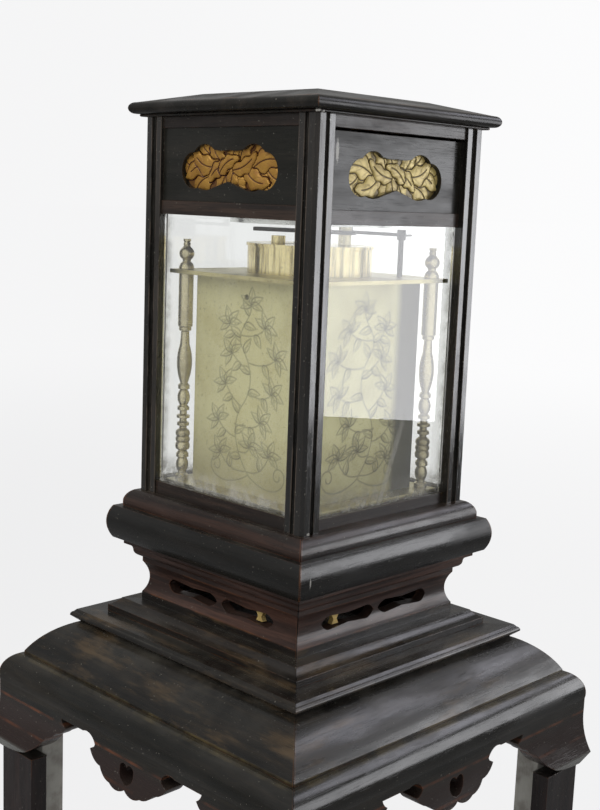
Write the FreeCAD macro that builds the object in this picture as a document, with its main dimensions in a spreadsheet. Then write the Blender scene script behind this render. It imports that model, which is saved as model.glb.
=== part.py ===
import FreeCAD, Part
import ast
import math
import operator
import os
import re

import Sketcher

# A Japanese clock in a glazed hardwood hood, on a moulded plinth and a legged stand.
# Frame: +Z up, origin on the floor under the middle of the stand, dial towards -Y.

doc = FreeCAD.newDocument("daimyo_clock")
Vector = FreeCAD.Vector
X_AXIS = Vector(1, 0, 0)
Z_AXIS = Vector(0, 0, 1)

# Driving sizes in millimetres, one cell each.
SIZES = {
    # Fits and cuts shared by all pieces
    "fit_gap": 0.1, "run_gap": 0.05, "clear_gap": 0.5, "overrun": 60,
    # Stand: four aprons, four angle legs and a sloping shoulder
    "stand_height": 364, "apron_half": 168.5, "apron_thick": 16.5, "apron_round": 11,
    "apron_round_drop": 22, "apron_edge": 28, "flare_start": 32, "flare_out": 6, "flare_end": 68,
    "pendant_half": 44.6, "pendant_drop": 58, "pendant_hole": 15, "pendant_hole_drop": 43.5,
    "lappet_reach": 92, "lappet_drop": 78.5,
    "leg_inset": 2, "leg_thick": 15, "leg_width": 41, "leg_block": 20, "leg_block_overlap": 60,
    "shoulder_height": 29, "shoulder_lap": 10.5, "apron_out": 14.1,
    "shoulder_lip": 2.2, "shoulder_bulge": 3.2,
    # Plinth, from the base board up to the sill that the hood stands on
    "board_thick": 9.9, "board_half": 128.5, "board_nose": 3.9, "board_under": 6,
    "board_lip": 1.8, "board_nose_drop": 3.4,
    "step_height": 16.9, "step_half": 107, "step_riser": 5.1, "step_slope_in": 8,
    "step_slope_up": 6, "step_sag": 0.7, "plinth_inner": 64,
    "cove_height": 25.2, "cove_half": 87.8, "cove_depth": 4.2, "cove_thick": 12.8,
    "fret_bridge": 5, "fret_reach": 59, "fret_middle": 12.2, "fret_rise": 5.2, "fret_cusp": 1.6,
    "stud_wide": 7, "stud_waist": 3.4, "stud_deep": 4, "stud_end": 17, "stud_inset": 6.6,
    "cap_height": 19, "cap_half": 98.6, "cap_fillet": 5, "cap_foot": 4.2, "cap_wave": 1.1,
    "torus_height": 26, "torus_half": 108.7, "torus_swell": 3.8,
    "sill_height": 13.3, "sill_spread": 6.3, "sill_ledge": 2.5, "sill_bulge": 1.9,
    "floor_thick": 12, "floor_lap": 8, "seat_thick": 8.5, "seat_set": 4,
    # Hood: posts, rails, friezes with gilt carvings, panes and lid
    "post_height": 288.2, "post_half": 90.5, "post_side": 18, "post_chamfer": 2.5, "post_band": 8,
    "post_groove": 4.5, "post_groove_deep": 3, "post_bead_set": 0.8, "post_inner_cut": 10,
    "face_set": 2.5, "rail_thick": 8, "top_rail_height": 8.2, "mid_rail_height": 10,
    "bottom_rail_height": 10.2, "frieze_set": 1.2, "frieze_thick": 4.8,
    "frieze_height": 53.3,
    "carving_thick": 3, "carving_margin": 3, "pane_thick": 2.5, "pane_inset": 3.5, "pane_lap": 2,
    "cloud_half": 50.5, "cloud_rise": 16.2, "cloud_drop": 28.2,
    "loose_set": 3, "loose_drop": 1.8,
    "lid_bead_height": 2, "lid_bead_out": 3.1, "lid_bead_nose": 0.9, "lid_thick": 8.5,
    "lid_out": 9.5, "lid_nose": 3.6, "tier_height": 8, "tier_set": 4.2, "tier_slope": 35.8,
    # Movement frame: plates, turned pillars, finials and the engraved box
    "plate_room": 15.5, "plate_thick": 3, "box_height": 162, "panel_set": 15, "panel_thick": 2,
    "pillar_inset": 9, "pillar_radius": 5.7, "pillar_stud": 2, "pillar_stud_rise": 9,
    "pillar_spigot": 2.5, "finial_height": 23, "finial_radius": 5.8, "panel_hole": 2,
    "panel_hole_drop": 14, "panel_hole_side": -4,
    # Dial on the front panel
    "dial_drop": 85.5, "ring_outer": 44, "ring_inner": 31, "ring_thick": 1.2, "hand_length": 36,
    "hand_tail": 12, "hand_wide": 4, "hand_thick": 1, "hand_boss": 3.5, "hand_lift": 1.5,
    # Drum on the top plate, bell above it and its hammer
    "drum_radius": 47, "drum_wall": 1.5, "drum_height": 20.5, "drum_lid_thick": 2,
    "drum_lid_lap": 1, "drum_slot_wide": 3, "drum_slot_tall": 10.5,
    "knob_radius": 5.4, "knob_height": 6, "knob_across": 23.6, "knob_along": -9.8,
    "bell_post_radius": 5, "bell_post_height": 21, "bell_post_reach": 26.6,
    "bridge_far": 44.6, "bridge_wide": 10, "bridge_thick": 3, "bridge_eye": 8.5, "bridge_rise": 8.5,
    "bell_rise": 6.5, "bell_radius": 61, "bell_wall": 2.5, "bell_skirt": 10, "bell_dome": 28,
    "bell_crown": 14, "bell_swell": 6.5, "bell_stud_radius": 4, "bell_screw": 3, "bell_nut_radius": 7,
    "bell_nut_height": 6,
    "hammer_side": 7.3, "hammer_back": 15.6, "hammer_radius": 2.1, "hammer_hub": 3.4,
    "hammer_hub_height": 8, "hammer_arm_rise": 32, "hammer_arm_thick": 2.6, "hammer_arm_wide": 3.2,
    "hammer_reach": 54.5, "hammer_head": 2.8, "hammer_head_rise": 12, "hammer_tail_reach": 27.4,
    "hammer_tail_wide": 3, "hammer_tail_lift": 1, "hammer_stop_reach": 20.7, "hammer_stop_fall": 7.4,
    "hammer_stop_wide": 1.6, "hammer_stop_thick": 1.4,
    # Trains between two upright plates, with the balance above them
    "train_plate_gap": 68, "train_plate_thick": 2.5, "train_plate_set": 14,
    "arbor_radius": 2, "pivot_radius": 1.2, "great_thick": 4, "wheel_thick": 3, "rim_wide": 4,
    "spoke_wide": 4, "hub_radius": 5, "tooth_module": 1.25, "fine_module": 1, "pinion_lap": 2,
    "going_set": 14, "back_set": 24, "pin_wheel_set": 10,
    "barrel_radius": 22, "barrel_wall": 1.5, "barrel_length": 16, "barrel_bore": 3,
    "crown_radius": 15, "crown_rim": 1.6, "crown_depth": 7, "crown_tooth": 3.2, "crown_reach": 3,
    "staff_radius": 1.2, "staff_pivot": 0.8, "pallet_reach": 2.3, "pallet_tall": 4, "pallet_thick": 1,
    "potence_wide": 16, "potence_thick": 3, "potence_set": 17, "potence_foot": 4, "potence_room": 3,
    "balance_radius": 40, "balance_rim": 4, "balance_thick": 2.5, "balance_rise": 8, "balance_bar": 4,
    "strike_across": -20, "strike_rise": 36.5, "pin_circle": 13, "pin_radius": 1.1, "pin_length": 5,
    "fly_reach": 13, "fly_thick": 1,
}

# Gear teeth, as shares of the module, and the tooth counts.
PRESSURE_ANGLE = math.radians(20)
ADDENDUM_SHARE = 0.65
DEDENDUM_SHARE = 0.95
BACKLASH_SHARE = 0.14
WHEEL_TEETH = 48
PINION_LEAVES = 12
PIN_WHEEL_TEETH = 36
CROWN_TEETH = 15
STRIKE_PINS = 8
SPOKES = 4
# Half the teeth of a meshing pair, and the share of both distances between great and crown arbors.
PAIR_TEETH = (WHEEL_TEETH + PINION_LEAVES) / 2
CROWN_RISE_SHARE = 0.86

# Half widths and heights that follow from the driving sizes of the pieces they meet.
LEVELS = {
    "post_inner": "post_half - post_side",
    "panel_reach": "post_inner - fit_gap",
    "face_half": "post_half - face_set",
    "lid_half": "post_half + lid_out",
    "lid_bead_half": "post_half + lid_bead_out",
    "tier_half": "lid_half - tier_set",
    "sill_top_half": "post_half + sill_ledge",
    "sill_half": "sill_top_half + sill_spread",
    "sill_inner": "plinth_inner + floor_lap",
    "torus_edge_half": "torus_half - torus_swell",
    "cove_back": "cove_half - cove_thick",
    "stud_place": "fret_reach - stud_end",
    "board_top_half": "board_half - board_nose",
    "board_foot_half": "board_half - board_under",
    "shoulder_top_half": "board_foot_half",
    "shoulder_inner": "board_foot_half - shoulder_lap",
    "shoulder_half": "apron_half - apron_out",
    "plate_half": "post_half - plate_room",
    "box_half": "plate_half - panel_set",
    "pillar_place": "plate_half - pillar_inset",
    "seat_half": "sill_inner - seat_set",
    "train_plate_half": "box_half - train_plate_set",
    "hammer_across": "-(train_plate_half + hammer_side)",
    "hammer_along": "box_half - hammer_back",
    "leg_height": "stand_height - lappet_drop",
    "leg_half": "apron_half - leg_inset",
    "apron_inner": "apron_half - apron_thick",
    "board_base": "stand_height + shoulder_height",
    "step_base": "board_base + board_thick",
    "cove_base": "step_base + step_height",
    "cap_base": "cove_base + cove_height",
    "torus_base": "cap_base + cap_height",
    "sill_base": "torus_base + torus_height",
    "hood_base": "sill_base + sill_height",
    "hood_top": "hood_base + post_height",
    "lid_base": "hood_top + lid_bead_height",
    "tier_base": "lid_base + lid_thick",
    "frieze_top": "hood_top - top_rail_height",
    "frieze_base": "frieze_top - frieze_height",
    "pane_top": "frieze_base - mid_rail_height + pane_lap",
    "pane_base": "hood_base + bottom_rail_height - pane_lap",
    "seat_base": "sill_base + floor_thick",
    "plate_base": "seat_base + seat_thick",
    "box_base": "plate_base + plate_thick",
    "top_base": "box_base + box_height",
    "drum_base": "top_base + plate_thick",
    "drum_lid_base": "drum_base + drum_height",
    "drum_lid_top": "drum_lid_base + drum_lid_thick",
    "bridge_base": "drum_lid_top + bridge_rise",
    "bridge_top": "bridge_base + bridge_thick",
    "bell_rim": "bridge_base + bell_rise",
    "bell_shoulder": "bell_rim + bell_skirt",
    "bell_top": "bell_shoulder + bell_dome",
    "dial_level": "top_base - dial_drop",
    "crown_level": "dial_level + %s * %s * (tooth_module + fine_module)" % (CROWN_RISE_SHARE, PAIR_TEETH),
    "strike_level": "box_base + strike_rise",
    "train_half": "train_plate_gap / 2",
}

# Cloud-shaped cut in a frieze, right half from the bottom cusp to the top middle,
# as shares of its half width and half height; a third entry marks a point inside an arc.
CLOUD_SHARES = [
    (0, -0.62), (0.16, -0.76, "via"), (0.33, -0.92), (0.48, -1.02, "via"), (0.66, -0.92),
    (1, 0, "via"), (0.74, 0.66), (0.54, 1, "via"), (0.32, 0.78), (0.16, 0.71, "via"), (0, 0.74),
]
# Hanging middle of an apron, right half, as shares of its half width and its drop.
PENDANT_SHARES = [
    (0, 0.9), (0.2, 1, "via"), (0.4, 0.92), (0.58, 0.84, "via"), (0.7, 0.66), (0.88, 0.57, "via"),
    (1, 0.36), (0.92, 0.31, "via"), (0.87, 0.2), (0.93, 0.06, "via"), (1.2, 0),
]
# Corner drop of an apron, from its hooked tip to the corner, as shares of its reach and drop.
LAPPET_SHARES = [
    (0.06, 0), (0.035, 0.08, "via"), (0, 0.13), (0.06, 0.24, "via"), (0.13, 0.28), (0.19, 0.38, "via"),
    (0.27, 0.44), (0.4, 0.68, "via"), (0.62, 0.88), (0.82, 0.97, "via"), (1, 1),
]
# Turned pillar, bottom to top, as shares of its largest radius and of its height.
PILLAR_SHARES = [
    (0.92, 0), (0.92, 0.022), (0.6, 0.03), (0.6, 0.042), (0.86, 0.075, "via"), (0.6, 0.106),
    (0.86, 0.112), (0.86, 0.128), (0.55, 0.142), (0.9, 0.15), (1, 0.17, "via"), (0.84, 0.184),
    (1, 0.198, "via"), (0.84, 0.212), (1, 0.228, "via"), (0.84, 0.242), (0.5, 0.252), (0.5, 0.262),
    (0.82, 0.266), (0.82, 0.28), (0.5, 0.286), (0.5, 0.3), (0.9, 0.304), (0.9, 0.316), (0.5, 0.322),
    (0.5, 0.338), (0.82, 0.342), (0.82, 0.356), (0.52, 0.366), (0.86, 0.403, "via"), (0.52, 0.44),
    (0.8, 0.446), (0.8, 0.462), (0.52, 0.474), (0.94, 0.53, "via"), (0.66, 0.66), (0.56, 0.722),
    (0.84, 0.728), (0.84, 0.742), (1, 0.748), (1, 1),
]
# Finial, bottom to top, as shares of its largest radius and of its height.
FINIAL_SHARES = [
    (1, 0), (0.94, 0.12, "via"), (0.52, 0.26), (0.6, 0.33), (1, 0.52, "via"), (0.6, 0.71), (0.42, 0.78),
    (0.5, 0.82), (0.4, 0.9), (0.5, 0.94), (0.5, 1), (0, 1),
]
# Turns in degrees: a quarter, one for each side of the case, and those of single pieces.
QUARTER = 90
SIDES = {"right": 0, "back": QUARTER, "left": 2 * QUARTER, "front": 3 * QUARTER}
DRUM_SLOT_TURN = -55
BRIDGE_TURN = 114.75
PIN_WHEEL_TURN = 115
FLY_TURN = 85

sheet = doc.addObject("Spreadsheet::Sheet", "Dims")
for row, (alias, value) in enumerate(SIZES.items(), start=1):
    sheet.set("A%d" % row, alias)
    sheet.set("B%d" % row, str(value))
    sheet.setAlias("B%d" % row, alias)
doc.recompute()

WORD = re.compile(r"[a-z][a-z_]*")
WORKINGS = {ast.Add: operator.add, ast.Sub: operator.sub, ast.Mult: operator.mul, ast.Div: operator.truediv}
nodes = []


def formula(text):
    """Spreadsheet formula for a sum of size and level names."""
    def cell(match):
        word = match.group(0)
        if word in LEVELS:
            return "(" + formula(LEVELS[word]) + ")"
        return "Dims." + word if word in SIZES else word
    return WORD.sub(cell, text)


def size(text):
    """Value in millimetres of a sum of size and level names."""
    return amount(ast.parse(text.strip()).body[0].value)


def amount(term):
    """Value of one term of a sum: a plain number, a named size or level, or a smaller sum."""
    if isinstance(term, ast.Constant):
        return float(term.value)
    if isinstance(term, ast.Name):
        return size(LEVELS[term.id]) if term.id in LEVELS else float(sheet.get(term.id))
    if isinstance(term, ast.UnaryOp):
        return -amount(term.operand)
    return WORKINGS[type(term.op)](amount(term.left), amount(term.right))


def train_spots():
    """Arbor places, across and up: each pair of meshing wheels at its pitch distance."""
    near = size("dial_level")
    far = size("crown_level")
    first = PAIR_TEETH * size("tooth_module")
    second = PAIR_TEETH * size("fine_module")
    up = (first ** 2 - second ** 2 + (far - near) ** 2) / (2 * (far - near))
    across = math.sqrt(first ** 2 - up ** 2)
    spots = {"great": ("0", "dial_level"), "second": (str(across), "dial_level + %s" % up),
             "crown": ("0", "crown_level"), "strike": ("strike_across", "strike_level")}
    for name, start, turned, teeth, module in (
            ("pin", "strike", PIN_WHEEL_TURN, WHEEL_TEETH, "tooth_module"),
            ("fly", "pin", FLY_TURN, PIN_WHEEL_TEETH, "fine_module")):
        reach = "%s * %s" % ((teeth + PINION_LEAVES) / 2, module)
        angle = math.radians(turned)
        spots[name] = ("%s + (%s) * %s" % (spots[start][0], math.cos(angle), reach),
                       "%s + %s * %s" % (spots[start][1], math.sin(angle), reach))
    return spots


SPOTS = train_spots()


def new_body(label):
    """Empty body that carries a sub-part's name."""
    body = doc.addObject("PartDesign::Body", label)
    body.Label = label
    return body


def hold(sketch, spot, x, y):
    """Dimension one sketch point from the origin by two formulas."""
    for kind, text, axis in (("DistanceX", x, -2), ("DistanceY", y, -1)):
        value = size(text)
        if abs(value) < 1e-9:
            sketch.addConstraint(Sketcher.Constraint("PointOnObject", *spot, axis))
            continue
        index = sketch.addConstraint(Sketcher.Constraint(kind, -1, 1, *spot, value))
        sketch.setExpression("Constraints[%d]" % index, formula(text))


def draw_loop(sketch, points):
    """Closed outline of straight runs and of arcs through their marked middle points."""
    corners = [point for point in points if len(point) == 2]
    middles = {}
    for index, point in enumerate(points):
        if len(point) == 3:
            middles[sum(1 for earlier in points[:index] if len(earlier) == 2) - 1] = point
    flat = [Vector(size(x), size(y), 0) for x, y in corners]
    ends = []
    for index, start in enumerate(flat):
        stop = flat[(index + 1) % len(flat)]
        if index in middles:
            through = Vector(size(middles[index][0]), size(middles[index][1]), 0)
            circle = Part.Arc(start, through, stop).toShape().Curve
            turn = (through - start).cross(stop - through).z
            first, last = (start, stop) if turn > 0 else (stop, start)
            angles = [math.atan2(p.y - circle.Center.y, p.x - circle.Center.x) for p in (first, last)]
            flat_circle = Part.Circle(circle.Center, Z_AXIS, circle.Radius)
            edge = sketch.addGeometry(Part.ArcOfCircle(flat_circle, *angles), False)
            ends.append((edge, 1, 2) if turn > 0 else (edge, 2, 1))
            mark = sketch.addGeometry(Part.Point(through), True)
            sketch.addConstraint(Sketcher.Constraint("PointOnObject", mark, 1, edge))
            hold(sketch, (mark, 1), middles[index][0], middles[index][1])
        else:
            ends.append((sketch.addGeometry(Part.LineSegment(start, stop), False), 1, 2))
    for index, (edge, first, last) in enumerate(ends):
        after = ends[(index + 1) % len(ends)]
        sketch.addConstraint(Sketcher.Constraint("Coincident", edge, last, after[0], after[1]))
        hold(sketch, (edge, first), *corners[index])


def draw_circle(sketch, x, y, radius):
    """Circle held by its middle and its radius."""
    middle = Vector(size(x), size(y), 0)
    edge = sketch.addGeometry(Part.Circle(middle, Z_AXIS, size(radius)), False)
    index = sketch.addConstraint(Sketcher.Constraint("Radius", edge, size(radius)))
    sketch.setExpression("Constraints[%d]" % index, formula(radius))
    hold(sketch, (edge, 3), x, y)


def new_sketch(body, plane, loops, start="0"):
    """Sketch on one of the body's own planes, set off along that plane's normal."""
    sketch = body.newObject("Sketcher::SketchObject", body.Label + "_sketch")
    origin_plane = next(f for f in body.Origin.OriginFeatures if f.Role == plane)
    sketch.AttachmentSupport = [(origin_plane, "")]
    sketch.MapMode = "FlatFace"
    sketch.setExpression("AttachmentOffset.Base.z", formula(start))
    for loop in loops:
        if loop[0] == "circle":
            draw_circle(sketch, *loop[1:])
        else:
            draw_loop(sketch, loop)
    return sketch


def pad(body, plane, loops, length, start="0", both_ways=False):
    """Solid made by pushing the outlines along the plane's normal."""
    feature = body.newObject("PartDesign::Pad", body.Label + "_pad")
    feature.Profile = new_sketch(body, plane, loops, start)
    feature.SideType = "Symmetric" if both_ways else "One side"
    feature.setExpression("Length", formula(length))
    doc.recompute()


def cut_through(body, plane, loops, start="0"):
    """Outlines cut right through the body, checked by the volume taken away."""
    before = body.Shape.Volume
    feature = body.newObject("PartDesign::Pocket", body.Label + "_cut")
    feature.Profile = new_sketch(body, plane, loops, start)
    feature.Type = "ThroughAll"
    feature.SideType = "Symmetric"
    doc.recompute()
    if not body.Shape.Volume < before:
        raise RuntimeError("nothing cut from " + body.Label)


def cut_down(body, loops, start, depth):
    """Outlines cut downwards from a level, checked by the volume taken away."""
    before = body.Shape.Volume
    feature = body.newObject("PartDesign::Pocket", body.Label + "_recess")
    feature.Profile = new_sketch(body, "XY_Plane", loops, start)
    feature.setExpression("Length", formula(depth))
    doc.recompute()
    if not body.Shape.Volume < before:
        raise RuntimeError("nothing cut from " + body.Label)


def turn(body, outline):
    """Solid of revolution about the upright axis, from radius and height points."""
    feature = body.newObject("PartDesign::Revolution", body.Label + "_turned")
    feature.Profile = new_sketch(body, "XZ_Plane", [outline])
    feature.ReferenceAxis = (feature.Profile[0], ["V_Axis"])
    feature.Angle = 4 * QUARTER
    doc.recompute()


def box_loop(x_low, x_high, y_low, y_high):
    """Four corners of an upright rectangle."""
    return [(x_low, y_low), (x_high, y_low), (x_high, y_high), (x_low, y_high)]


def place(item, turn_angle=0, x="0", y="0"):
    """Set a piece in the frame, turned about the upright axis."""
    item.Placement = FreeCAD.Placement(Vector(size(x), size(y), 0), FreeCAD.Rotation(Z_AXIS, turn_angle))
    item.setExpression("Placement.Base.x", formula(x))
    item.setExpression("Placement.Base.y", formula(y))


def lay(item, x, z):
    """Set a piece made about the upright axis level, so that its axis runs front to back."""
    item.Placement = FreeCAD.Placement(Vector(size(x), 0, size(z)), FreeCAD.Rotation(X_AXIS, -QUARTER))
    item.setExpression("Placement.Base.x", formula(x))
    item.setExpression("Placement.Base.z", formula(z))


def keep(item):
    """List a finished sub-part for export."""
    nodes.append(item)
    return item


def ring_of(label, body, turns):
    """One node of separate alike solids: a piece and its copies turned about the axis."""
    links = [body]
    place(body, turns[0])
    for angle in turns[1:]:
        link = doc.addObject("App::Link", "%s_%d" % (label, angle))
        link.LinkedObject = body
        link.LinkTransform = False
        place(link, angle)
        links.append(link)
    group = doc.addObject("Part::Compound", label)
    group.Label = label
    group.Links = links
    return keep(group)


def cut_mitres(body, outer):
    """Both ends of a length on the +X side cut at 45 degrees to meet its neighbours."""
    far = outer + " + overrun"
    cut_through(body, "XY_Plane", [
        [("0", "0"), (far, far), ("0", far)],
        [("0", "0"), ("0", "-(%s)" % far), (far, "-(%s)" % far)],
    ])


def mitred_length(label, profile, outer):
    """Moulding length on the +X side: its section run along the side and mitred."""
    body = new_body(label)
    pad(body, "XZ_Plane", [profile], "2 * (%s)" % outer, both_ways=True)
    cut_mitres(body, outer)
    return body


def moulded_board(label, half_profile, half):
    """Square board with one edge moulding all round: the overlap of two crossed sections."""
    mirrored = [("-(%s)" % point[0],) + point[1:] for point in reversed(half_profile)]
    halves = []
    for name, angle in (("_long", 0), ("_cross", QUARTER)):
        body = new_body(label + name)
        pad(body, "XZ_Plane", [half_profile + mirrored], "2 * (%s + overrun)" % half, both_ways=True)
        place(body, angle)
        halves.append(body)
    board = doc.addObject("Part::Common", label)
    board.Label = label
    board.Base, board.Tool = halves
    doc.recompute()
    return keep(board)


def shared(points, x_unit, y_unit, y_base="0", y_sign="+"):
    """Points given as shares, written as formulas of the sizes that they follow."""
    made = []
    for point in points:
        x = "%s * (%s)" % (point[0], x_unit)
        y = "%s %s %s * (%s)" % (y_base, y_sign, point[1], y_unit)
        made.append((x, y.replace("+ -", "- ")) + tuple(point[2:]))
    return made


def mirrored_loop(half):
    """Closed loop from its right half, which starts and ends on the middle line."""
    left = [("-(%s)" % point[0],) + point[1:] for point in reversed(half[1:-1])]
    return half + left


def make_legs():
    """Angle legs under the aprons, each with a corner block glued up behind them."""
    low, back = "leg_half - leg_width", "leg_half - leg_thick"
    section = [("leg_half", "leg_half"), (low, "leg_half"), (low, back), (back, back), (back, low),
               ("leg_half", low)]
    block = box_loop("apron_inner - leg_block", "apron_inner", "apron_inner - leg_block", "apron_inner")
    for index, name in enumerate(("back_right", "back_left", "front_left", "front_right")):
        leg = keep(new_body("leg_" + name))
        pad(leg, "XY_Plane", [section], "leg_height")
        pad(leg, "XY_Plane", [block], "leg_block_overlap + lappet_drop", "leg_height - leg_block_overlap")
        place(leg, index * QUARTER)


def make_aprons():
    """Rounded aprons with a pierced hanging middle and flared corner drops."""
    flare = "apron_half + flare_out"
    profile = [
        ("apron_inner", "stand_height"), ("apron_half - apron_round", "stand_height"),
        ("apron_half - 0.29 * apron_round", "stand_height - 0.29 * apron_round_drop", "via"),
        ("apron_half", "stand_height - apron_round_drop"), ("apron_half", "stand_height - flare_start"),
        ("apron_half + 0.2 * flare_out", "stand_height - flare_start / 2 - flare_end / 2", "via"),
        (flare, "stand_height - flare_end"), ("apron_half", "stand_height - lappet_drop"),
        ("apron_inner", "stand_height - lappet_drop"),
    ]
    edge = "stand_height - apron_edge"
    pendant = shared(PENDANT_SHARES, "pendant_half", "pendant_drop - apron_edge", edge, y_sign="-")
    tip = "apron_half - lappet_reach"
    lappet = []
    for point in LAPPET_SHARES:
        x = "%s + %s * lappet_reach" % (tip, point[0])
        lappet.append((x, "%s - %s * (lappet_drop - apron_edge)" % (edge, point[1])) + tuple(point[2:]))
    below = "stand_height - lappet_drop - overrun"
    far = "apron_half + overrun"
    half = pendant + lappet + [(far, "stand_height - lappet_drop"), (far, below)]
    left = [("-(%s)" % point[0],) + point[1:] for point in reversed(half[1:])]
    hole_level = "stand_height - pendant_hole_drop"
    hole = [
        ("0", hole_level + " + 0.34 * pendant_hole"),
        ("0.3 * pendant_hole", hole_level + " + 0.5 * pendant_hole", "via"),
        ("0.52 * pendant_hole", hole_level + " + 0.16 * pendant_hole"),
        ("0.4 * pendant_hole", hole_level + " - 0.3 * pendant_hole", "via"),
        ("0", hole_level + " - 0.52 * pendant_hole"),
    ]
    for name, angle in SIDES.items():
        apron = keep(new_body("apron_" + name))
        pad(apron, "XZ_Plane", [profile], "2 * (%s)" % flare, both_ways=True)
        cut_through(apron, "YZ_Plane", [half + left])
        cut_through(apron, "YZ_Plane", [mirrored_loop(hole)])
        cut_mitres(apron, flare)
        place(apron, angle)


def make_shoulder():
    """Sloping shoulder between the aprons and the base board, four mitred lengths."""
    middle = "(shoulder_top_half + shoulder_half) / 2"
    rise = "stand_height + (shoulder_height + shoulder_lip) / 2"
    profile = [
        ("shoulder_inner", "stand_height"), ("shoulder_half", "stand_height"),
        ("shoulder_half", "stand_height + shoulder_lip"),
        (middle + " + shoulder_bulge / 2", rise + " + shoulder_bulge", "via"),
        ("shoulder_top_half", "board_base"), ("shoulder_inner", "board_base"),
    ]
    ring_of("stand_shoulder", mitred_length("shoulder_length", profile, "shoulder_half"),
            list(SIDES.values()))


def make_base():
    """Base board with a nosed edge, and the stepped moulding that stands on it."""
    nose = "board_base + board_thick - board_lip - board_nose_drop"
    moulded_board("base_board", [
        ("board_foot_half", "board_base"), ("board_half", nose),
        ("board_half - 0.1 * board_nose_drop", nose + " + 0.6 * board_nose_drop", "via"),
        ("board_top_half + board_lip", "board_base + board_thick - board_lip"),
        ("board_top_half", "board_base + board_thick"),
    ], "board_half")
    slope_half = "step_half - step_slope_in"
    ledge = "step_base + step_riser + step_slope_up"
    profile = [
        ("plinth_inner", "step_base"), ("step_half", "step_base"), ("step_half", "step_base + step_riser"),
        ("step_half - step_slope_in / 2 - step_sag", "step_base + step_riser + step_slope_up / 2 - step_sag",
         "via"),
        (slope_half, ledge), ("cove_half", ledge), ("cove_half", "cove_base"),
        ("plinth_inner", "cove_base"),
    ]
    ring_of("base_step", mitred_length("step_length", profile, "step_half"), list(SIDES.values()))


def fret_loop(sign):
    """One long cusped opening of a cove panel, to one side of the bridge."""
    level = "cove_base + fret_middle"
    inner, outer = "fret_bridge / 2", "fret_reach"
    length = "(fret_reach - fret_bridge / 2)"

    def along(share):
        return "%s(%s + %s * %s)" % (sign, inner, share, length)

    high, low = level + " + fret_rise", level + " - fret_rise"
    return [
        (along(0), level), (along(0.04), high + " - fret_rise / 2", "via"), (along(0.14), high),
        (along(0.34), high + " - fret_cusp / 2", "via"), (along(0.5), high + " - fret_cusp"),
        (along(0.66), high + " - fret_cusp / 2", "via"), (along(0.86), high),
        (along(0.97), level + " + fret_rise / 2", "via"), ("%s(%s)" % (sign, outer), level),
        (along(0.97), level + " - fret_rise / 2", "via"), (along(0.86), low),
        (along(0.66), low + " + fret_cusp / 2", "via"), (along(0.5), low + " + fret_cusp"),
        (along(0.34), low + " + fret_cusp / 2", "via"), (along(0.14), low),
        (along(0.04), low + " + fret_rise / 2", "via"),
    ]


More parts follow.
